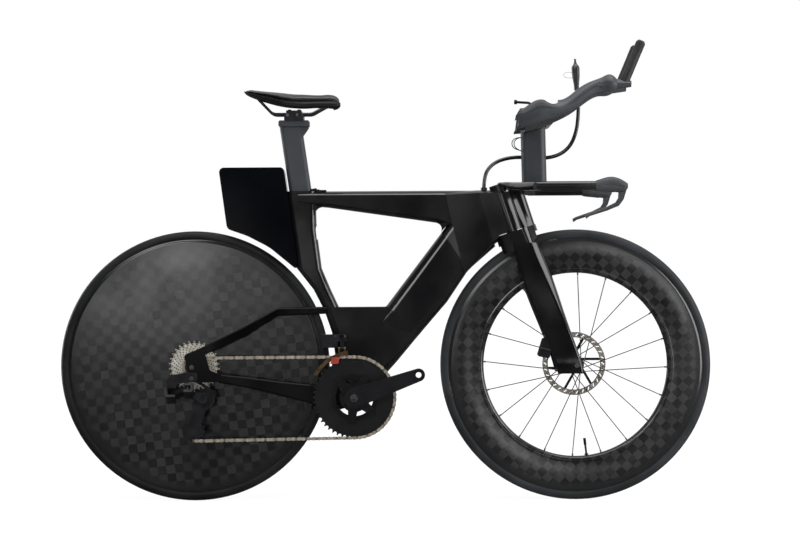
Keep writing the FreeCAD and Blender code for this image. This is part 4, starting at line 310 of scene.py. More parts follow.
def tow_finish(name, axle, square, turn, dark, light, rough, fade, gloss, flat):
    """Satin carbon in squares about a wheel's axle, which fade out between the radii of each pair in fade."""
    made, tree, shader = bare_material(name, Specular_IOR_Level=gloss)
    place = node(tree, "ShaderNodeMapping")
    place.inputs["Location"].default_value = (-axle[0], 0.0, -axle[1])
    link(tree, object_vector(tree), place.inputs["Vector"])
    tow = use_group(tree, SPREAD_TOW, Vector=place.outputs[0], Square=square, Turn=turn)
    drift = use_group(tree, MOTTLE, Vector=place.outputs[0], Patch_Scale=5.0, Grain_Scale=1200.0,
                      Dark=(0.8, 0.8, 0.8), Light=(1.15, 1.15, 1.15), Smooth=rough - 0.05, Rough=rough + 0.07)
    polar = use_group(tree, ABOUT_AXLE, Vector=place.outputs[0])
    inner = ramp(tree, polar["Radius"], fade[0][0], fade[0][1], 0.0, 1.0, smooth=True)
    outer = ramp(tree, polar["Radius"], fade[1][0], fade[1][1], 1.0, 0.0, smooth=True)
    clear = sum_of(tree, "MULTIPLY", inner, outer)
    shade = ramp(tree, clear, 0.0, 1.0, 0.36, tow["Shade"])
    tone = blend_colours(tree, shade, dark, light)
    shaded = blend_colours(tree, 1.0, tone, drift["Colour"], blend="MULTIPLY")
    link(tree, shaded, shader.inputs["Base Color"])
    link(tree, drift["Roughness"], shader.inputs["Roughness"])
    roll = ramp(tree, polar["Radius"], BEAD_ROLL[0], BEAD_ROLL[1], BEAD_DROP, 0.0, smooth=True)
    height = sum_of(tree, "ADD", sum_of(tree, "MULTIPLY", tow["Fibre"], FIBRE_DEPTH), roll)
    bump(tree, shader, height, 1.0, 1.0, flattened_normal(tree, flat))
    return made


def tyre_finish(name, axle, dark, light):
    """Black rubber with a tread grain, and two moulded lines on the sidewall."""
    made, tree, shader = bare_material(name, Specular_IOR_Level=0.16)
    vector = object_vector(tree)
    polar = use_group(tree, ABOUT_AXLE, Vector=vector, Axle_X=axle[0], Axle_Z=axle[1])
    drift = use_group(tree, MOTTLE, Vector=vector, Patch_Scale=9.0, Grain_Scale=1500.0,
                      Dark=dark, Light=light, Smooth=0.42, Rough=0.62)
    line = sum_of(tree, "PINGPONG", sum_of(tree, "SUBTRACT", polar["Radius"], SIDEWALL_LINE), SIDEWALL_STEP)
    groove = ramp(tree, line, 0.0, 0.0006, 0.0, 1.0, smooth=True)
    tread = sum_of(tree, "GREATER_THAN", polar["Radius"], TREAD_START)
    knit = sum_of(tree, "SINE", sum_of(tree, "MULTIPLY", polar["Turn"], 700.0))
    pattern = sum_of(tree, "MULTIPLY", sum_of(tree, "MULTIPLY", knit, tread), 0.25)
    link(tree, drift["Colour"], shader.inputs["Base Color"])
    link(tree, drift["Roughness"], shader.inputs["Roughness"])
    height = sum_of(tree, "ADD", sum_of(tree, "ADD", groove, pattern),
                    sum_of(tree, "MULTIPLY", drift["Grain"], 0.3))
    bump(tree, shader, height, 0.0004, 0.5)
    return made


def brushed_ring(name, axle, dark, light, smooth, rough, count):
    """Metal brushed round its axle."""
    made, tree, shader = bare_material(name, Metallic=1.0)
    vector = object_vector(tree)
    polar = use_group(tree, ABOUT_AXLE, Vector=vector, Axle_X=axle[0], Axle_Z=axle[1])
    drift = use_group(tree, MOTTLE, Vector=vector, Patch_Scale=60.0, Grain_Scale=2500.0,
                      Dark=dark, Light=light, Smooth=smooth, Rough=rough)
    rings = sum_of(tree, "SINE", sum_of(tree, "MULTIPLY", polar["Radius"], count))
    link(tree, drift["Colour"], shader.inputs["Base Color"])
    link(tree, drift["Roughness"], shader.inputs["Roughness"])
    height = sum_of(tree, "ADD", sum_of(tree, "MULTIPLY", rings, 0.3), drift["Grain"])
    bump(tree, shader, height, 0.00003, 0.4)
    return made


def hatched_ring(name, axle):
    """Dark chainring with fine slanted machining lines."""
    made, tree, shader = bare_material(name, Specular_IOR_Level=0.16)
    vector = object_vector(tree)
    parts = node(tree, "ShaderNodeSeparateXYZ")
    link(tree, vector, parts.inputs[0])
    slant = sum_of(tree, "ADD", parts.outputs["X"], sum_of(tree, "MULTIPLY", parts.outputs["Z"], 0.27))
    wave = sum_of(tree, "SINE", sum_of(tree, "MULTIPLY", slant, 2.0 * math.pi / HATCH_PITCH))
    crest = ramp(tree, wave, -0.2, 0.9, 0.0, 1.0, smooth=True)
    polar = use_group(tree, ABOUT_AXLE, Vector=vector, Axle_X=axle[0], Axle_Z=axle[1])
    band = ramp(tree, polar["Radius"], HATCH_START[0], HATCH_START[1], 0.0, 1.0, smooth=True)
    share = sum_of(tree, "MULTIPLY", crest, band)
    drift = use_group(tree, MOTTLE, Vector=vector, Patch_Scale=30.0, Grain_Scale=1500.0,
                      Dark=(0.0026, 0.0026, 0.0031), Light=(0.0046, 0.0046, 0.0052), Smooth=0.32, Rough=0.48)
    colour = blend_colours(tree, share, drift["Colour"], (0.0112, 0.0116, 0.0128))
    link(tree, colour, shader.inputs["Base Color"])
    link(tree, drift["Roughness"], shader.inputs["Roughness"])
    bump(tree, shader, share, 0.0002, 0.5)
    return made


def grip_finish(name, dark, light, pitch, depth):
    """Soft moulded rubber with a fine diamond texture."""
    made, tree, shader = bare_material(name, Specular_IOR_Level=0.35)
    vector = object_vector(tree)
    parts = node(tree, "ShaderNodeSeparateXYZ")
    link(tree, vector, parts.inputs[0])
    turn = 2.0 * math.pi / pitch
    rising = sum_of(tree, "ADD", parts.outputs["X"], parts.outputs["Z"])
    falling = sum_of(tree, "SUBTRACT", parts.outputs["X"], parts.outputs["Z"])
    up = sum_of(tree, "SINE", sum_of(tree, "MULTIPLY", rising, turn))
    down = sum_of(tree, "SINE", sum_of(tree, "MULTIPLY", falling, turn))
    drift = use_group(tree, MOTTLE, Vector=vector, Patch_Scale=20.0, Grain_Scale=1800.0,
                      Dark=dark, Light=light, Smooth=0.5, Rough=0.68)
    link(tree, drift["Colour"], shader.inputs["Base Color"])
    link(tree, drift["Roughness"], shader.inputs["Roughness"])
    bump(tree, shader, sum_of(tree, "ADD", sum_of(tree, "MULTIPLY", up, down), drift["Grain"]), depth, 0.4)
    return made


def rounded_gloss(name, edge, dark, light, smooth, rough, gloss):
    """Gloss paint whose face rolls forward along the blade's front edge, a point and the way across it."""
    made, tree, shader = bare_material(name, Specular_IOR_Level=gloss)
    vector = object_vector(tree)
    seen = use_group(tree, MOTTLE, Vector=vector, Patch_Scale=7.0, Grain_Scale=500.0,
                     Dark=dark, Light=light, Smooth=smooth, Rough=rough)
    (x, z), (over, up) = edge
    across = node(tree, "ShaderNodeVectorMath", operation="DOT_PRODUCT")
    link(tree, vector, across.inputs[0])
    across.inputs[1].default_value = (over, 0.0, up)
    beyond = sum_of(tree, "SUBTRACT", across.outputs["Value"], x * over + z * up)
    link(tree, seen["Colour"], shader.inputs["Base Color"])
    link(tree, seen["Roughness"], shader.inputs["Roughness"])
    bump(tree, shader, ramp(tree, beyond, -0.014, 0.014, 1.0, 0.0, smooth=True), 0.010, 1.0)
    return made


def cog_finish(name, axle):
    """Machined cogs with painted shade in the tooth gaps, in rings round the axle."""
    made, tree, shader = bare_material(name, Metallic=0.55)
    vector = object_vector(tree)
    polar = use_group(tree, ABOUT_AXLE, Vector=vector, Axle_X=axle[0], Axle_Z=axle[1])
    drift = use_group(tree, MOTTLE, Vector=vector, Patch_Scale=90.0, Grain_Scale=2500.0,
                      Dark=(0.46, 0.43, 0.37), Light=(0.72, 0.69, 0.62), Smooth=0.26, Rough=0.42)
    step = sum_of(tree, "FLOOR", sum_of(tree, "DIVIDE", polar["Radius"], COG_STEP))
    inside = sum_of(tree, "FRACT", sum_of(tree, "DIVIDE", polar["Radius"], COG_STEP))
    turned = sum_of(tree, "ADD", sum_of(tree, "MULTIPLY", polar["Turn"], 30.0),
                    sum_of(tree, "MULTIPLY", step, 2.1))
    tooth = ramp(tree, sum_of(tree, "SINE", turned), 0.35, 0.75, 0.0, 1.0, smooth=True)
    band = ramp(tree, sum_of(tree, "PINGPONG", inside, 0.5), 0.12, 0.30, 0.0, 1.0, smooth=True)
    # Painted shade: the tooth gaps get a dark brown-black colour where the cogs behind would lie in shade.
    cog_gap_shade = sum_of(tree, "MULTIPLY", tooth, band)
    link(tree, blend_colours(tree, cog_gap_shade, drift["Colour"], (0.035, 0.031, 0.026)), shader.inputs["Base Color"])
    link(tree, drift["Roughness"], shader.inputs["Roughness"])
    bump(tree, shader, sum_of(tree, "SUBTRACT", drift["Grain"], cog_gap_shade), 0.0002, 0.5)
    return made


def grain_cover(name, dark, light, cell, smooth, rough, depth):
    """Pebbled cover of small raised cells."""
    made, tree, shader = bare_material(name, Specular_IOR_Level=0.4)
    vector = object_vector(tree)
    cells = node(tree, "ShaderNodeTexVoronoi", feature="DISTANCE_TO_EDGE")
    cells.inputs["Scale"].default_value = 1.0 / cell
    link(tree, vector, cells.inputs["Vector"])
    pebble = ramp(tree, cells.outputs["Distance"], 0.0, 0.22, 0.0, 1.0, smooth=True)
    drift = use_group(tree, MOTTLE, Vector=vector, Patch_Scale=25.0, Grain_Scale=2200.0,
                      Dark=dark, Light=light, Smooth=smooth, Rough=rough)
    link(tree, drift["Colour"], shader.inputs["Base Color"])
    link(tree, drift["Roughness"], shader.inputs["Roughness"])
    bump(tree, shader, sum_of(tree, "ADD", pebble, sum_of(tree, "MULTIPLY", drift["Grain"], 0.3)), depth, 0.5)
    return made


GLOSS_BLACK = mottled("gloss_black_paint", (0.0026, 0.0027, 0.0032), (0.0074, 0.0072, 0.0074), 0.07, 0.17,
                      patch=7.0, grain=500.0, depth=0.00001, Specular_IOR_Level=0.40, Coat_Roughness=0.03)
FORK_GLOSS = rounded_gloss("fork_gloss_black", FORK_EDGE, (0.0016, 0.0016, 0.0019), (0.0052, 0.0049, 0.0048),
                           0.07, 0.17, 0.40)
BOX_BLACK = mottled("box_navy_black", (0.0010, 0.0011, 0.0016), (0.0020, 0.0023, 0.0033), 0.05, 0.12,
                    patch=4.0, grain=400.0, depth=0.00001, Specular_IOR_Level=0.03)
POST_GREY = mottled("post_satin_grey", (0.020, 0.0225, 0.027), (0.029, 0.032, 0.038), 0.42, 0.55,
                    patch=10.0, grain=1500.0, depth=0.00004, Specular_IOR_Level=0.30)
CUP_GREY = mottled("cup_satin_grey", (0.026, 0.028, 0.032), (0.038, 0.041, 0.047), 0.40, 0.54,
                   patch=12.0, grain=1600.0, depth=0.00004, Specular_IOR_Level=0.32)
BAR_BLACK = mottled("bar_black", (0.005, 0.005, 0.0055), (0.014, 0.013, 0.012), 0.16, 0.32,
                    patch=12.0, grain=700.0, depth=0.00002, Specular_IOR_Level=0.45)
CRANK_BLACK = mottled("crank_satin_black", (0.0030, 0.0030, 0.0038), (0.0060, 0.0060, 0.0074), 0.28, 0.42,
                      patch=22.0, grain=1400.0, depth=0.00003, Specular_IOR_Level=0.18)
FITTING_BLACK = mottled("fitting_black", (0.004, 0.004, 0.005), (0.009, 0.009, 0.011), 0.36, 0.54,
                        patch=45.0, grain=1500.0, depth=0.00003, Specular_IOR_Level=0.18)
LEVER_GREY = mottled("lever_dark_grey", (0.018, 0.020, 0.023), (0.030, 0.033, 0.037), 0.26, 0.42,
                     patch=25.0, grain=1500.0, depth=0.00003, Specular_IOR_Level=0.5)
COG_SILVER = cog_finish("machined_cogs", REAR_AXLE)
CHAIN_METAL = mottled("chain_bronze_silver", (0.21, 0.185, 0.145), (0.36, 0.32, 0.26), 0.30, 0.46,
                      patch=160.0, grain=2500.0, depth=0.00003, Metallic=0.45)
BOLT_METAL = mottled("bolt_dark_steel", (0.06, 0.06, 0.065), (0.16, 0.16, 0.17), 0.24, 0.42,
                     patch=150.0, grain=2500.0, depth=0.00002, Metallic=1.0)
RAIL_BLACK = mottled("rail_gloss_black", (0.006, 0.006, 0.007), (0.016, 0.016, 0.018), 0.12, 0.26,
                     patch=60.0, grain=1200.0, depth=0.00002, Specular_IOR_Level=0.55)
SPOKE_GREY = mottled("spoke_dark_steel", (0.045, 0.047, 0.052), (0.085, 0.088, 0.095), 0.30, 0.45,
                     patch=40.0, grain=2500.0, depth=0.00002, Metallic=0.6)
HOSE_BLACK = mottled("hose_gloss_black", (0.005, 0.005, 0.006), (0.010, 0.010, 0.012), 0.14, 0.26,
                     patch=40.0, grain=900.0, depth=0.00002, Specular_IOR_Level=0.55)
WIRE_GREY = mottled("wire_cover_grey", (0.012, 0.012, 0.014), (0.030, 0.031, 0.034), 0.34, 0.50,
                    patch=120.0, grain=2000.0, depth=0.00002, Specular_IOR_Level=0.5)
VALVE_GREY = mottled("bite_valve_black", (0.012, 0.013, 0.015), (0.024, 0.026, 0.029), 0.30, 0.46,
                     patch=35.0, grain=1500.0, depth=0.00001, Specular_IOR_Level=0.4)
BRONZE_EDGE = mottled("cage_bronze", (0.075, 0.048, 0.026), (0.15, 0.10, 0.055), 0.30, 0.46,
                      patch=80.0, grain=2200.0, depth=0.00003, Metallic=1.0)
RED_BLOCK = mottled("skid_block_orange", (0.19, 0.012, 0.003), (0.28, 0.022, 0.005), 0.40, 0.55,
                    patch=120.0, grain=1800.0, depth=0.00004)
LOOP_CORD = mottled("pull_loop_grey", (0.10, 0.10, 0.105), (0.22, 0.22, 0.23), 0.50, 0.65,
                    patch=200.0, grain=2600.0, depth=0.00003)
BOX_INSIDE = mottled("box_inside_black", (0.008, 0.008, 0.010), (0.015, 0.015, 0.018), 0.45, 0.60,
                     patch=20.0, grain=1600.0, depth=0.00004)
# Frame paint on the stays, with a base colour darker than the main frame's as painted shade, and a weaker
# gloss.
STAY_SHADED_BLACK = mottled("stay_black", (0.0012, 0.0012, 0.0014), (0.0034, 0.0032, 0.0031), 0.16, 0.28,
                     patch=9.0, grain=600.0, depth=0.00001, Specular_IOR_Level=0.10)
SHELL_BLACK = mottled("saddle_shell_matte", (0.0035, 0.0035, 0.0038), (0.0070, 0.0070, 0.0075), 0.48, 0.62,
                      patch=18.0, grain=1600.0, depth=0.00003, Specular_IOR_Level=0.20)
LINK_BRONZE = mottled("chain_inner_bronze", (0.085, 0.074, 0.057), (0.16, 0.14, 0.11), 0.34, 0.50,
                      patch=160.0, grain=2500.0, depth=0.00003, Metallic=0.45)
DISC_TOW = tow_finish("disc_square_carbon", REAR_AXLE, DISC_SQUARE, 0.14, (0.0022, 0.0022, 0.0025),
                      (0.0150, 0.0150, 0.0156), 0.16, ((0.0, 0.02), (0.290, 0.307)), 0.5, 0.06)
RIM_TOW = tow_finish("rim_square_carbon", FRONT_AXLE, RIM_SQUARE, math.pi / 4, (0.0038, 0.0038, 0.0041),
                     (0.0210, 0.0210, 0.0217), 0.18, ((0.226, 0.240), (0.292, 0.308)), 0.5, 1.0)
FRONT_RUBBER = tyre_finish("front_tyre_rubber", FRONT_AXLE, (0.011, 0.012, 0.013), (0.021, 0.023, 0.026))
REAR_RUBBER = tyre_finish("rear_tyre_rubber", REAR_AXLE, (0.0045, 0.0048, 0.0052), (0.0090, 0.0096, 0.0105))
FRONT_TRACK = brushed_ring("front_rotor_steel", FRONT_AXLE, (0.30, 0.27, 0.23), (0.46, 0.43, 0.39),
                           0.28, 0.44, 9000.0)
REAR_TRACK = brushed_ring("rear_rotor_steel", REAR_AXLE, (0.30, 0.27, 0.23), (0.46, 0.43, 0.39),
                          0.28, 0.44, 9000.0)
RING_HATCH = hatched_ring("chainring_hatched", CRANK_AXLE)
HOOD_RUBBER = grip_finish("hood_rubber", (0.022, 0.024, 0.027), (0.036, 0.039, 0.043), 0.0040, 0.00015)
UPRIGHT_RUBBER = grip_finish("upright_rubber", (0.005, 0.005, 0.006), (0.010, 0.010, 0.012), 0.0030, 0.00012)
BUTTON_RUBBER = grip_finish("button_rubber", (0.010, 0.010, 0.011), (0.017, 0.017, 0.019), 0.0024, 0.00010)
SADDLE_COVER = grain_cover("saddle_cover_grain", (0.0085, 0.0085, 0.009), (0.016, 0.016, 0.017),
                           0.0016, 0.34, 0.50, 0.00010)
PAD_COVER = grain_cover("arm_pad_cover", (0.009, 0.009, 0.010), (0.017, 0.017, 0.019),
                        0.0013, 0.62, 0.80, 0.00018)

FINISHES = {
    GLOSS_BLACK: ["main_frame", "seat_clamp"],
    FORK_GLOSS: ["fork"],
    STAY_SHADED_BLACK: ["chainstays", "seatstays"],
    SHELL_BLACK: ["saddle_shell"],
    BOX_BLACK: ["storage_box_shell", "storage_box_door"],
    POST_GREY: ["seatpost", "riser_column"],
    CUP_GREY: ["extension_left", "extension_right"],
    BAR_BLACK: ["base_bar", "hose_port", "arm_bracket"],
    CRANK_BLACK: ["crank_arm_right", "crank_arm_left", "rear_hub", "front_hub"],
    FITTING_BLACK: ["front_brake_caliper", "rear_brake_caliper", "rear_derailleur_body", "rd_outer_link",
                    "rd_inner_link", "rd_knuckle", "rd_cage", "front_derailleur_body", "fd_link",
                    "saddle_clamp", "guide_pulley", "tension_pulley", "cockpit_fittings", "front_valve"],
    LEVER_GREY: ["brake_lever_left", "brake_lever_right"],
    COG_SILVER: ["cassette"],
    CHAIN_METAL: ["chain"],
    BOLT_METAL: ["front_axle", "rear_axle", "bearings"],
    RAIL_BLACK: ["saddle_rails"],
    SPOKE_GREY: ["front_spokes"],
    HOSE_BLACK: ["hydration_hose"],
    WIRE_GREY: ["riser_wires"],
    VALVE_GREY: ["bite_valve"],
    BRONZE_EDGE: ["fd_cage"],
    DISC_TOW: ["rear_disc"],
    RIM_TOW: ["front_rim"],
    FRONT_RUBBER: ["front_tyre"],
    REAR_RUBBER: ["rear_tyre"],
    RING_HATCH: ["chainrings"],
    HOOD_RUBBER: ["brake_hoods"],
    UPRIGHT_RUBBER: ["upright_grips"],
    BUTTON_RUBBER: ["shift_button_left", "shift_button_right"],
    SADDLE_COVER: ["saddle_pad"],
    PAD_COVER: ["arm_pads"],
    FRONT_TRACK: ["front_rotor"],
    REAR_TRACK: ["rear_rotor"],
}


def dress_nodes():
    for finish, names in FINISHES.items():
        for name in names:
            slots = NODES[name].data.materials
            slots.clear()
            slots.append(finish)


def second_finish(name, finish, inside):
    """Gives a node a second finish on the faces whose centre passes the test."""
    mesh = NODES[name].data
    mesh.materials.append(finish)
    last = len(mesh.materials) - 1
    for face in mesh.polygons:
        if inside(face.center, face.normal):
            face.material_index = last


def islands(mesh):
    """Lists of face indices, one for each connected piece of a mesh, with its split corners taken as one."""
    joined = {}

    def root(spot):
        while joined[spot] != spot:
            spot = joined[spot]
        return spot

    spots = [tuple(round(c, 6) for c in vertex.co) for vertex in mesh.vertices]
    for spot in spots:
        joined[spot] = spot
    for face in mesh.polygons:
        first = root(spots[face.vertices[0]])
        for index in face.vertices[1:]:
            joined[root(spots[index])] = first
    pieces = {}
    for face in mesh.polygons:
        pieces.setdefault(root(spots[face.vertices[0]]), []).append(face.index)
    return list(pieces.values())


def darken_links():
    """Gives the chain's narrower pieces a browner finish, and paints those in the changer's cage black as
    painted shade.
    """
    mesh = NODES["chain"].data
    mesh.materials.append(LINK_BRONZE)
    mesh.materials.append(FITTING_BLACK)
    pieces = []
    for piece in islands(mesh):
        corners = [mesh.vertices[i].co for f in piece for i in mesh.polygons[f].vertices]
        across = [c.y for c in corners]
        spot = corners[0]
        in_cage_shade = spot.x < CAGE_REACH[0] and CAGE_REACH[1] < spot.z < CAGE_REACH[2]
        in_cage_shade = in_cage_shade or (spot.x < CAGE_END and spot.z < CAGE_REACH[2])
        pieces.append((max(across) - min(across), in_cage_shade, piece))
    widths = [width for width, in_cage_shade, piece in pieces]
    middle = (min(widths) + max(widths)) / 2
    for width, in_cage_shade, piece in pieces:
        for index in piece:
            # Pieces in the changer's cage get the black fitting finish: painted shade where the cage shadows
            # the chain.
            mesh.polygons[index].material_index = 2 if in_cage_shade else int(width < middle)


def radius_from(spot, axle):
    return math.hypot(spot.x - axle[0], spot.z - axle[1])


# Pieces

def add_object(name, data):
    made = bpy.data.objects.new(name, data)
    SCENE.collection.objects.link(made)
    return made


def mesh_of(holder):
    """Plain mesh of an object as its modifiers leave it."""
    bpy.context.view_layer.update()
    return bpy.data.meshes.new_from_object(holder.evaluated_get(bpy.context.evaluated_depsgraph_get()))


def route_curve(name, points, bevel):
    """NURBS line with the route's points as its control points."""
    data = bpy.data.curves.new(name, "CURVE")
    data.dimensions = "3D"
    data.resolution_u = 12
    data.bevel_depth = bevel
    data.bevel_resolution = 6
    data.use_fill_caps = True
    line = data.splines.new("NURBS")
    line.points.add(len(points) - 1)
    for point, place in zip(line.points, points):
        point.co = (*place, 1.0)
    line.order_u = 3
    line.use_endpoint_u = True
    return data


def cord_tube(name, points, diameter, finish):
    """Mesh tube along a route, with the points of its centre line."""
    holder = add_object(name + "_line", route_curve(name + "_line", points, 0.0))
    centre = [tuple(v.co) for v in mesh_of(holder).vertices]
    holder.data.bevel_depth = diameter / 2
    mesh = mesh_of(holder)
    bpy.data.objects.remove(holder)
    mesh.materials.clear()
    mesh.materials.append(finish)
    for face in mesh.polygons:
        face.use_smooth = True
    tube = add_object(name, mesh)
    tube.data.name = name
    length = sum((Vector(a) - Vector(b)).length for a, b in zip(centre, centre[1:]))
    return tube, centre, length


def lay_cords():
    hose, centre, length = cord_tube("drinking_hose", HOSE_ROUTE, HOSE_DIAMETER, HOSE_BLACK)
    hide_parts("hydration_hose")
    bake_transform(hose)
    for name, route in WIRE_ROUTES.items():
        wire, centre, length = cord_tube(name, route, WIRE_DIAMETER, WIRE_GREY)
        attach(wire, "steering")
    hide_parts("riser_wires")
    loop, centre, length = cord_tube("valve_pull_loop", PULL_LOOP_ROUTE, LOOP_DIAMETER, LOOP_CORD)
    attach(loop, "steering")


def soft_copy(node_name, name, voxel, inset, cap, finish):
    """Copy of a pad, swollen by a short cloth run and finely divided."""
    mesh = NODES[node_name].data.copy()
    shape = bmesh.new()
    shape.from_mesh(mesh)
    bmesh.ops.remove_doubles(shape, verts=shape.verts, dist=0.00002)
    bmesh.ops.recalc_face_normals(shape, faces=shape.faces)
    shape.to_mesh(mesh)
    shape.free()
    pad = add_object(name, mesh)
    mesh.name = name
    remesh = pad.modifiers.new("even_faces", "REMESH")
    remesh.mode = "VOXEL"
    remesh.voxel_size = voxel
    pad.data = mesh_of(pad)
    pad.modifiers.clear()
    rest = [v.co - v.normal * inset for v in pad.data.vertices]
    for vertex, place in zip(pad.data.vertices, rest):
        vertex.co = place
    swell(pad, rest, inset + cap)
    smooth = pad.modifiers.new("even_out", "SMOOTH")
    smooth.factor = 0.5
    smooth.iterations = 4
    finer = pad.modifiers.new("finer_faces", "SUBSURF")
    finer.levels = 1
    finer.render_levels = 1
    pad.data = mesh_of(pad)
    pad.modifiers.clear()
    pad.data.name = name
    pad.data.materials.clear()
    pad.data.materials.append(finish)
    for face in pad.data.polygons:
        face.use_smooth = True
    return pad


def swell(pad, rest, cap):
    """Cloth with inner pressure and no gravity, each point held within the cap."""
    cloth = pad.modifiers.new("swell", "CLOTH")
    cloth.settings.use_pressure = True
    cloth.settings.uniform_pressure_force = 4.0
    cloth.settings.effector_weights.gravity = 0.0
    cloth.point_cache.frame_start = 1
    cloth.point_cache.frame_end = 20
    for step in range(1, 21):
        SCENE.frame_set(step)
    moved = mesh_of(pad)
    pad.modifiers.clear()
    for vertex, place, start in zip(pad.data.vertices, moved.vertices, rest):
        way = place.co - start
        if way.length > cap:
            way *= cap / way.length
        vertex.co = start + way
    SCENE.frame_set(1)


def saddle_cover():
    """Saddle cover with a shallow relief channel along its middle."""
    cover = soft_copy("saddle_pad", "saddle_cover", 0.0038, 0.0012, 0.0008, SADDLE_COVER)
    low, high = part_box("saddle_pad")
    for vertex in cover.data.vertices:
        spot = vertex.co
        if vertex.normal.z < 0.35:
            continue
        along = (spot.x - low.x) / (high.x - low.x)
        fade = max(0.0, min(1.0, (along - 0.06) / 0.12)) * max(0.0, min(1.0, (0.93 - along) / 0.12))
        spot.z -= CHANNEL_DEPTH * fade * math.exp(-(spot.y / CHANNEL_HALF_WIDTH) ** 2)
    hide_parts("saddle_pad")
    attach(cover, "saddle")


def arm_cushions():
    pads = soft_copy("arm_pads", "arm_cushions", 0.0030, 0.0008, 0.0010, PAD_COVER)
    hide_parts("arm_pads")
    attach(pads, "steering")


# Small fasteners and rings, made by node trees

def geometry_tree(name, inputs):
    tree = bpy.data.node_groups.new(name, "GeometryNodeTree")
    tree.interface.new_socket("Geometry", in_out="INPUT", socket_type="NodeSocketGeometry")
    for label, kind, value in inputs:
        tree.interface.new_socket(label, in_out="INPUT", socket_type=kind).default_value = value
    tree.interface.new_socket("Material", in_out="INPUT", socket_type="NodeSocketMaterial")
    tree.interface.new_socket("Geometry", in_out="OUTPUT", socket_type="NodeSocketGeometry")
    given = tree.nodes.new("NodeGroupInput").outputs
    out = tree.nodes.new("NodeGroupOutput").inputs
    return tree, given, out


def close_tree(tree, given, out, geometry):
    real = tree.nodes.new("GeometryNodeRealizeInstances")
    paint = tree.nodes.new("GeometryNodeSetMaterial")
    link(tree, geometry, real.inputs[0])
    link(tree, real.outputs[0], paint.inputs["Geometry"])
    link(tree, given["Material"], paint.inputs["Material"])
    link(tree, paint.outputs[0], out["Geometry"])


def socket_bolt_tree():
    """Cap bolt with a six-sided socket on each point, standing along the point's way."""
    tree, given, out = geometry_tree("socket_bolts", [("Head Radius", "NodeSocketFloat", 0.004),
                                                      ("Head Height", "NodeSocketFloat", 0.003)])
    head = node(tree, "GeometryNodeMeshCylinder")
    head.inputs["Vertices"].default_value = 28
    link(tree, given["Head Radius"], head.inputs["Radius"])
    link(tree, given["Head Height"], head.inputs["Depth"])
    key = node(tree, "GeometryNodeMeshCylinder")
    key.inputs["Vertices"].default_value = 6
    link(tree, sum_of(tree, "MULTIPLY", given["Head Radius"], 0.55), key.inputs["Radius"])
    link(tree, given["Head Height"], key.inputs["Depth"])
    raised = node(tree, "GeometryNodeTransform")
    shift = node(tree, "ShaderNodeCombineXYZ")
    link(tree, sum_of(tree, "MULTIPLY", given["Head Height"], 0.4), shift.inputs["Z"])
    link(tree, key.outputs["Mesh"], raised.inputs["Geometry"])
    link(tree, shift.outputs[0], raised.inputs["Translation"])
    cut = node(tree, "GeometryNodeMeshBoolean", operation="DIFFERENCE")
    link(tree, head.outputs["Mesh"], cut.inputs[0])
    link(tree, raised.outputs[0], cut.inputs[1])
    way = node(tree, "GeometryNodeInputNamedAttribute", data_type="FLOAT_VECTOR")
    way.inputs["Name"].default_value = "way"
    turn = node(tree, "FunctionNodeAlignRotationToVector", axis="Z")
    link(tree, way.outputs[0], turn.inputs["Vector"])
    placed = node(tree, "GeometryNodeInstanceOnPoints")
    link(tree, given["Geometry"], placed.inputs["Points"])
    link(tree, cut.outputs["Mesh"], placed.inputs["Instance"])
    link(tree, turn.outputs[0], placed.inputs["Rotation"])
    close_tree(tree, given, out, placed.outputs[0])
    return tree


def ring_tree():
    """Round beads at even steps along a straight line."""
    tree, given, out = geometry_tree("grip_rings", [("Count", "NodeSocketInt", 5),
                                                    ("Ring Radius", "NodeSocketFloat", 0.01),
                                                    ("Bead Radius", "NodeSocketFloat", 0.0006)])
    line = node(tree, "GeometryNodeMeshToCurve")
    link(tree, given["Geometry"], line.inputs["Mesh"])
    points = node(tree, "GeometryNodeCurveToPoints", mode="COUNT")
    link(tree, line.outputs[0], points.inputs["Curve"])
    link(tree, given["Count"], points.inputs["Count"])
    circle = node(tree, "GeometryNodeCurvePrimitiveCircle")
    circle.inputs["Resolution"].default_value = 40
    link(tree, given["Ring Radius"], circle.inputs["Radius"])
    bead = node(tree, "GeometryNodeCurvePrimitiveCircle")
    bead.inputs["Resolution"].default_value = 8
    link(tree, given["Bead Radius"], bead.inputs["Radius"])
    ring = node(tree, "GeometryNodeCurveToMesh")
    link(tree, circle.outputs["Curve"], ring.inputs["Curve"])
    link(tree, bead.outputs["Curve"], ring.inputs["Profile Curve"])
    placed = node(tree, "GeometryNodeInstanceOnPoints")
    link(tree, points.outputs["Points"], placed.inputs["Points"])
    link(tree, ring.outputs[0], placed.inputs["Instance"])
    link(tree, points.outputs["Rotation"], placed.inputs["Rotation"])
    close_tree(tree, given, out, placed.outputs[0])
    return tree


BOLT_TREE = socket_bolt_tree()
RING_TREE = ring_tree()


def grown(name, mesh, tree, finish, **sizes):
    """Plain mesh that a node tree grows on a mesh."""
    holder = add_object(name, mesh)
    modifier = holder.modifiers.new("grow", "NODES")
    modifier.node_group = tree
    for item in tree.interface.items_tree:
        if item.item_type != "SOCKET" or item.in_out != "INPUT":
            continue
        label = item.name.replace(" ", "_")
        if label in sizes:
            modifier[item.identifier] = sizes[label]
        elif label == "Material":
            modifier[item.identifier] = finish
    holder.data = mesh_of(holder)
    holder.modifiers.clear()
    holder.data.name = name
    for face in holder.data.polygons:
        face.use_smooth = len(face.vertices) == 4 and name.endswith("rings")
    return holder


def seat_on(node_name, start, way):
    """Point and outward way where a ray first meets a node."""
    hit, place, normal, face = NODES[node_name].ray_cast(Vector(start), Vector(way).normalized())
    return (place, normal) if hit else None


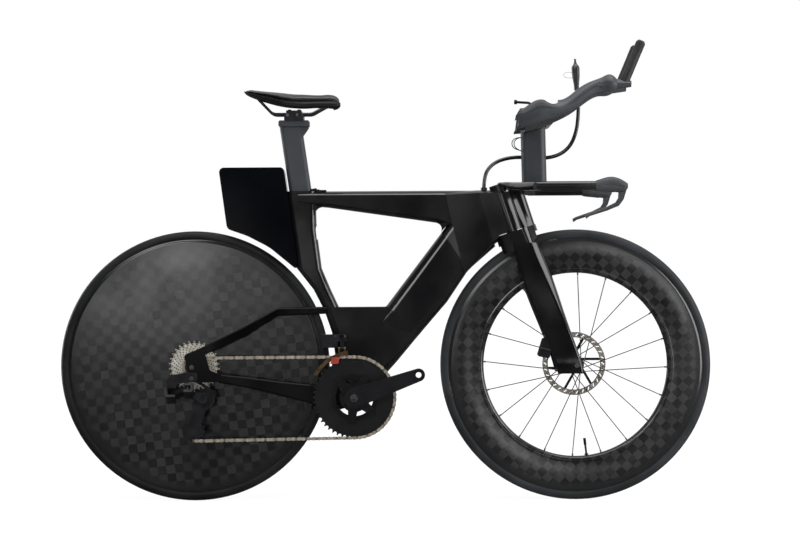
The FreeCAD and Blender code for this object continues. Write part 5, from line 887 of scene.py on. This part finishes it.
def bolts(name, body, radius, height, seats):
    """Socket bolts seated on a node along the given rays, one mesh for one body."""
    spots = [seat for seat in (seat_on(*entry) for entry in seats) if seat]
    mesh = bpy.data.meshes.new(name)
    mesh.from_pydata([place + way * (height * 0.45) for place, way in spots], [], [])
    ways = mesh.attributes.new("way", "FLOAT_VECTOR", "POINT")
    ways.data.foreach_set("vector", [part for place, way in spots for part in way])
    made = grown(name, mesh, BOLT_TREE, BOLT_METAL, Head_Radius=radius, Head_Height=height)
    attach(made, body)


def fit_bolts():
    leftward = (0.0, 1.0, 0.0)
    rightward = (0.0, -1.0, 0.0)
    bolts("derailleur_mount_bolts", "frame", 0.0052, 0.0024,
          [("rear_derailleur_body", (-0.5130, -0.3, 0.2820), leftward),
           ("rear_derailleur_body", (-0.4780, -0.3, 0.3120), leftward)])
    bolts("front_changer_bolts", "frame", 0.0032, 0.0020,
          [("front_derailleur_body", (-0.1230, -0.3, 0.4140), leftward),
           ("front_derailleur_body", (-0.0990, -0.3, 0.4140), leftward)])
    bolts("rear_caliper_bolts", "frame", 0.0042, 0.0030,
          [("rear_brake_caliper", (-0.3980, 0.3, 0.3440), rightward),
           ("rear_brake_caliper", (-0.3650, 0.3, 0.3180), rightward)])
    bolts("front_caliper_bolts", "steering", 0.0042, 0.0030,
          [("front_brake_caliper", (0.4130, 0.3, 0.3900), rightward),
           ("front_brake_caliper", (0.4010, 0.3, 0.3660), rightward)])
    bolts("bracket_bolts", "steering", 0.0030, 0.0020,
          [("arm_bracket", (0.405, side * y, 0.80), (0, 0, 1))
           for side in (-1, 1) for y in (0.038, 0.062, 0.086)])
    bolts("saddle_clamp_bolts", "post", 0.0036, 0.0026,
          [("saddle_clamp", (x, -0.3, 0.968), leftward) for x in (-0.240, -0.216)])
    bolts("seat_wedge_bolt", "frame", 0.0036, 0.0020, [("seat_clamp", (-0.166, 0.0, 1.2), (0, 0, -1))])
    bolts("lever_pivot_bolts", "steering", 0.0025, 0.0016,
          [("brake_lever_right", (0.573, -0.4, 0.770), leftward),
           ("brake_lever_left", (0.573, 0.4, 0.770), rightward)])
    bolts("extension_plugs", "steering", 0.0048, 0.0012,
          [("extension_right", (0.537, -0.3, 1.033), leftward),
           ("extension_left", (0.537, 0.3, 1.033), rightward)])
    bolts("crank_end_bolt", "crank", 0.0095, 0.0024,
          [("crank_arm_right", (CRANK_AXLE[0], -0.3, CRANK_AXLE[1]), leftward)])


def fit_rings():
    """Raised rings near the top of each upright grip."""
    for side, label in ((-1, "right"), (1, "left")):
        foot = GRIP_FOOT + Vector((0, side * GRIP_SPREAD, 0))
        mesh = bpy.data.meshes.new("grip_line")
        mesh.from_pydata([foot + GRIP_WAY * up for up in GRIP_RINGS], [(0, 1)], [])
        rings = grown("upright_%s_rings" % label, mesh, RING_TREE, UPRIGHT_RUBBER, Count=6,
                      Ring_Radius=GRIP_RADIUS, Bead_Radius=0.0007)
        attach(rings, "steering")


def bevelled_block(name, low, high, edge, finish):
    """Block between two corners with rounded edges, its top slid forward."""
    shape = bmesh.new()
    bmesh.ops.create_cube(shape, size=1.0)
    for vertex in shape.verts:
        vertex.co = Vector([a + (b - a) * (c + 0.5) for a, b, c in zip(low, high, vertex.co)])
    for vertex in shape.verts:
        if vertex.co.z > (low[2] + high[2]) / 2:
            vertex.co.x += (high[0] - low[0]) * 0.22
    bmesh.ops.bevel(shape, geom=list(shape.edges), offset=edge, segments=3, affect="EDGES", profile=0.6)
    mesh = bpy.data.meshes.new(name)
    shape.to_mesh(mesh)
    shape.free()
    mesh.materials.append(finish)
    return add_object(name, mesh)


def skid_block():
    block = bevelled_block("cage_skid_block", (-0.1355, -0.0535, 0.3450), (-0.1155, -0.0505, 0.3610),
                           0.0008, RED_BLOCK)
    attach(block, "shift_cage")


def dress_details():
    second_finish("front_rotor", FITTING_BLACK, lambda c, n: radius_from(c, FRONT_AXLE) < ROTOR_TRACK_INNER)
    second_finish("rear_rotor", FITTING_BLACK, lambda c, n: radius_from(c, REAR_AXLE) < ROTOR_TRACK_INNER)
    second_finish("cassette", FITTING_BLACK, lambda c, n: radius_from(c, REAR_AXLE) < COG_CENTRE)
    second_finish("chainrings", CHAIN_METAL,
                  lambda c, n: radius_from(c, CRANK_AXLE) > RING_TIPS and abs(n.y) < 0.5)
    second_finish("storage_box_shell", BOX_INSIDE, lambda c, n: abs(c.y) < BOX_INNER_HALF and abs(n.y) > 0.5)
    darken_links()
    second_finish("main_frame", BOX_INSIDE, lambda c, n: radius_from(c, CRANK_AXLE) < BB_BORE)


# Studio

# Bright panels that the gloss mirrors: direction, full and faded reach, strength
MIRRORED_PANELS = [((-0.140, -0.990, -0.012), 0.015, 0.075, 8.0), ((0.160, -0.986, 0.045), 0.035, 0.100, 6.0)]


def soft_light(name, place, aim, size, power, colour=(1.0, 1.0, 1.0)):
    data = bpy.data.lights.new(name, "AREA")
    data.shape = "RECTANGLE"
    data.size, data.size_y = size
    data.energy = power
    data.color = colour
    lamp = add_object(name, data)
    lamp.location = place
    lamp.rotation_euler = (Vector(aim) - Vector(place)).to_track_quat("-Z", "Y").to_euler()


def studio_world():
    """White behind the bike, with a dim room on the camera's side for the black gloss to mirror."""
    world = bpy.data.worlds.new("studio")
    world.use_nodes = True
    SCENE.world = world
    tree = world.node_tree
    tree.nodes.clear()
    out = tree.nodes.new("ShaderNodeOutputWorld")
    way = tree.nodes.new("ShaderNodeTexCoord").outputs["Generated"]
    parts = node(tree, "ShaderNodeSeparateXYZ")
    link(tree, way, parts.inputs[0])
    behind = ramp(tree, parts.outputs["Y"], -0.25, 0.55, 0.05, 1.0, smooth=True)
    above = ramp(tree, parts.outputs["Z"], 0.35, 0.95, 0.0, 0.55, smooth=True)
    mirrored = sum_of(tree, "MAXIMUM", behind, above)
    for panel, full, faded, strength in MIRRORED_PANELS:
        aside = node(tree, "ShaderNodeVectorMath", operation="DISTANCE")
        link(tree, way, aside.inputs[0])
        aside.inputs[1].default_value = panel
        glow = ramp(tree, aside.outputs["Value"], full, faded, strength, 0.0, smooth=True)
        mirrored = sum_of(tree, "MAXIMUM", mirrored, glow)
    room = node(tree, "ShaderNodeBackground")
    link(tree, mirrored, room.inputs["Color"])
    room.inputs["Strength"].default_value = 0.9
    plain = node(tree, "ShaderNodeBackground")
    plain.inputs["Color"].default_value = (1.0, 1.0, 1.0, 1.0)
    plain.inputs["Strength"].default_value = 0.42
    seen = node(tree, "ShaderNodeBackground")
    seen.inputs["Color"].default_value = (1.0, 1.0, 1.0, 1.0)
    seen.inputs["Strength"].default_value = 1.0
    path = tree.nodes.new("ShaderNodeLightPath")
    mirror = sum_of(tree, "MAXIMUM", path.outputs["Is Glossy Ray"], path.outputs["Is Transmission Ray"])
    first = node(tree, "ShaderNodeMixShader")
    link(tree, mirror, first.inputs[0])
    link(tree, plain.outputs[0], first.inputs[1])
    link(tree, room.outputs[0], first.inputs[2])
    second = node(tree, "ShaderNodeMixShader")
    link(tree, path.outputs["Is Camera Ray"], second.inputs[0])
    link(tree, first.outputs[0], second.inputs[1])
    link(tree, seen.outputs[0], second.inputs[2])
    link(tree, second.outputs[0], out.inputs["Surface"])


def studio_floor():
    """White floor that keeps a faint shadow."""
    shape = bmesh.new()
    bmesh.ops.create_grid(shape, x_segments=4, y_segments=4, size=20.0)
    mesh = bpy.data.meshes.new("studio_floor")
    shape.to_mesh(mesh)
    shape.free()
    floor = add_object("studio_floor", mesh)
    made = bpy.data.materials.new("studio_floor_white")
    made.use_nodes = True
    tree = made.node_tree
    tree.nodes.clear()
    out = tree.nodes.new("ShaderNodeOutputMaterial")
    paint = tree.nodes.new("ShaderNodeBsdfDiffuse")
    glow = tree.nodes.new("ShaderNodeEmission")
    glow.inputs["Color"].default_value = (1.0, 1.0, 1.0, 1.0)
    glow.inputs["Strength"].default_value = 1.06
    path = tree.nodes.new("ShaderNodeLightPath")
    reach = node(tree, "ShaderNodeVectorMath", operation="LENGTH")
    link(tree, object_vector(tree), reach.inputs[0])
    clear = ramp(tree, reach.outputs["Value"], 0.7, 2.4, 0.84, 1.0, smooth=True)
    share = sum_of(tree, "MULTIPLY", path.outputs["Is Camera Ray"], clear)
    dull = blend_colours(tree, path.outputs["Is Glossy Ray"], (0.88, 0.88, 0.88), (0.09, 0.09, 0.09))
    link(tree, dull, paint.inputs["Color"])
    mixed = node(tree, "ShaderNodeMixShader")
    link(tree, share, mixed.inputs[0])
    link(tree, paint.outputs[0], mixed.inputs[1])
    link(tree, glow.outputs[0], mixed.inputs[2])
    link(tree, mixed.outputs[0], out.inputs["Surface"])
    mesh.materials.append(made)


def photo_camera():
    """Camera on the drive side, at the photograph's place and lens."""
    yaw, pitch, roll = [math.radians(turn) for turn in CAMERA_DEGREES]
    ahead = Vector((-math.sin(yaw) * math.cos(pitch), math.cos(yaw) * math.cos(pitch), -math.sin(pitch)))
    right = Vector((math.cos(yaw), math.sin(yaw), 0.0))
    up = right.cross(ahead)
    across = right * math.cos(roll) + up * math.sin(roll)
    rise = up * math.cos(roll) - right * math.sin(roll)
    data = bpy.data.cameras.new("photo_camera")
    data.lens = CAMERA_LENS
    data.sensor_width = 36.0
    data.sensor_fit = "HORIZONTAL"
    data.clip_end = 100.0
    camera = add_object("photo_camera", data)
    turn = Matrix((across, rise, -ahead)).transposed()
    camera.matrix_world = Matrix.Translation(CAMERA_PLACE) @ turn.to_4x4()
    SCENE.camera = camera


def studio():
    SCENE.view_settings.view_transform = "Standard"
    photo_camera()
    studio_world()
    studio_floor()
    soft_light("overhead_softbox", (0.2, -0.6, 3.2), (0.0, 0.0, 0.5), (3.4, 1.6), 95.0)
    soft_light("drive_side_fill", (-1.8, -4.2, 2.6), (0.0, 0.0, 0.5), (1.8, 1.8), 70.0)
    soft_light("rear_edge_strip", (-2.8, 1.0, 1.0), (-0.2, 0.0, 0.5), (0.5, 2.2), 40.0)
    soft_light("front_edge_strip", (2.6, -0.9, 0.9), (0.3, 0.0, 0.5), (1.6, 2.2), 75.0)


studio()
dress_nodes()
dress_details()
lay_cords()
saddle_cover()
arm_cushions()
fit_bolts()
fit_rings()
skid_block()
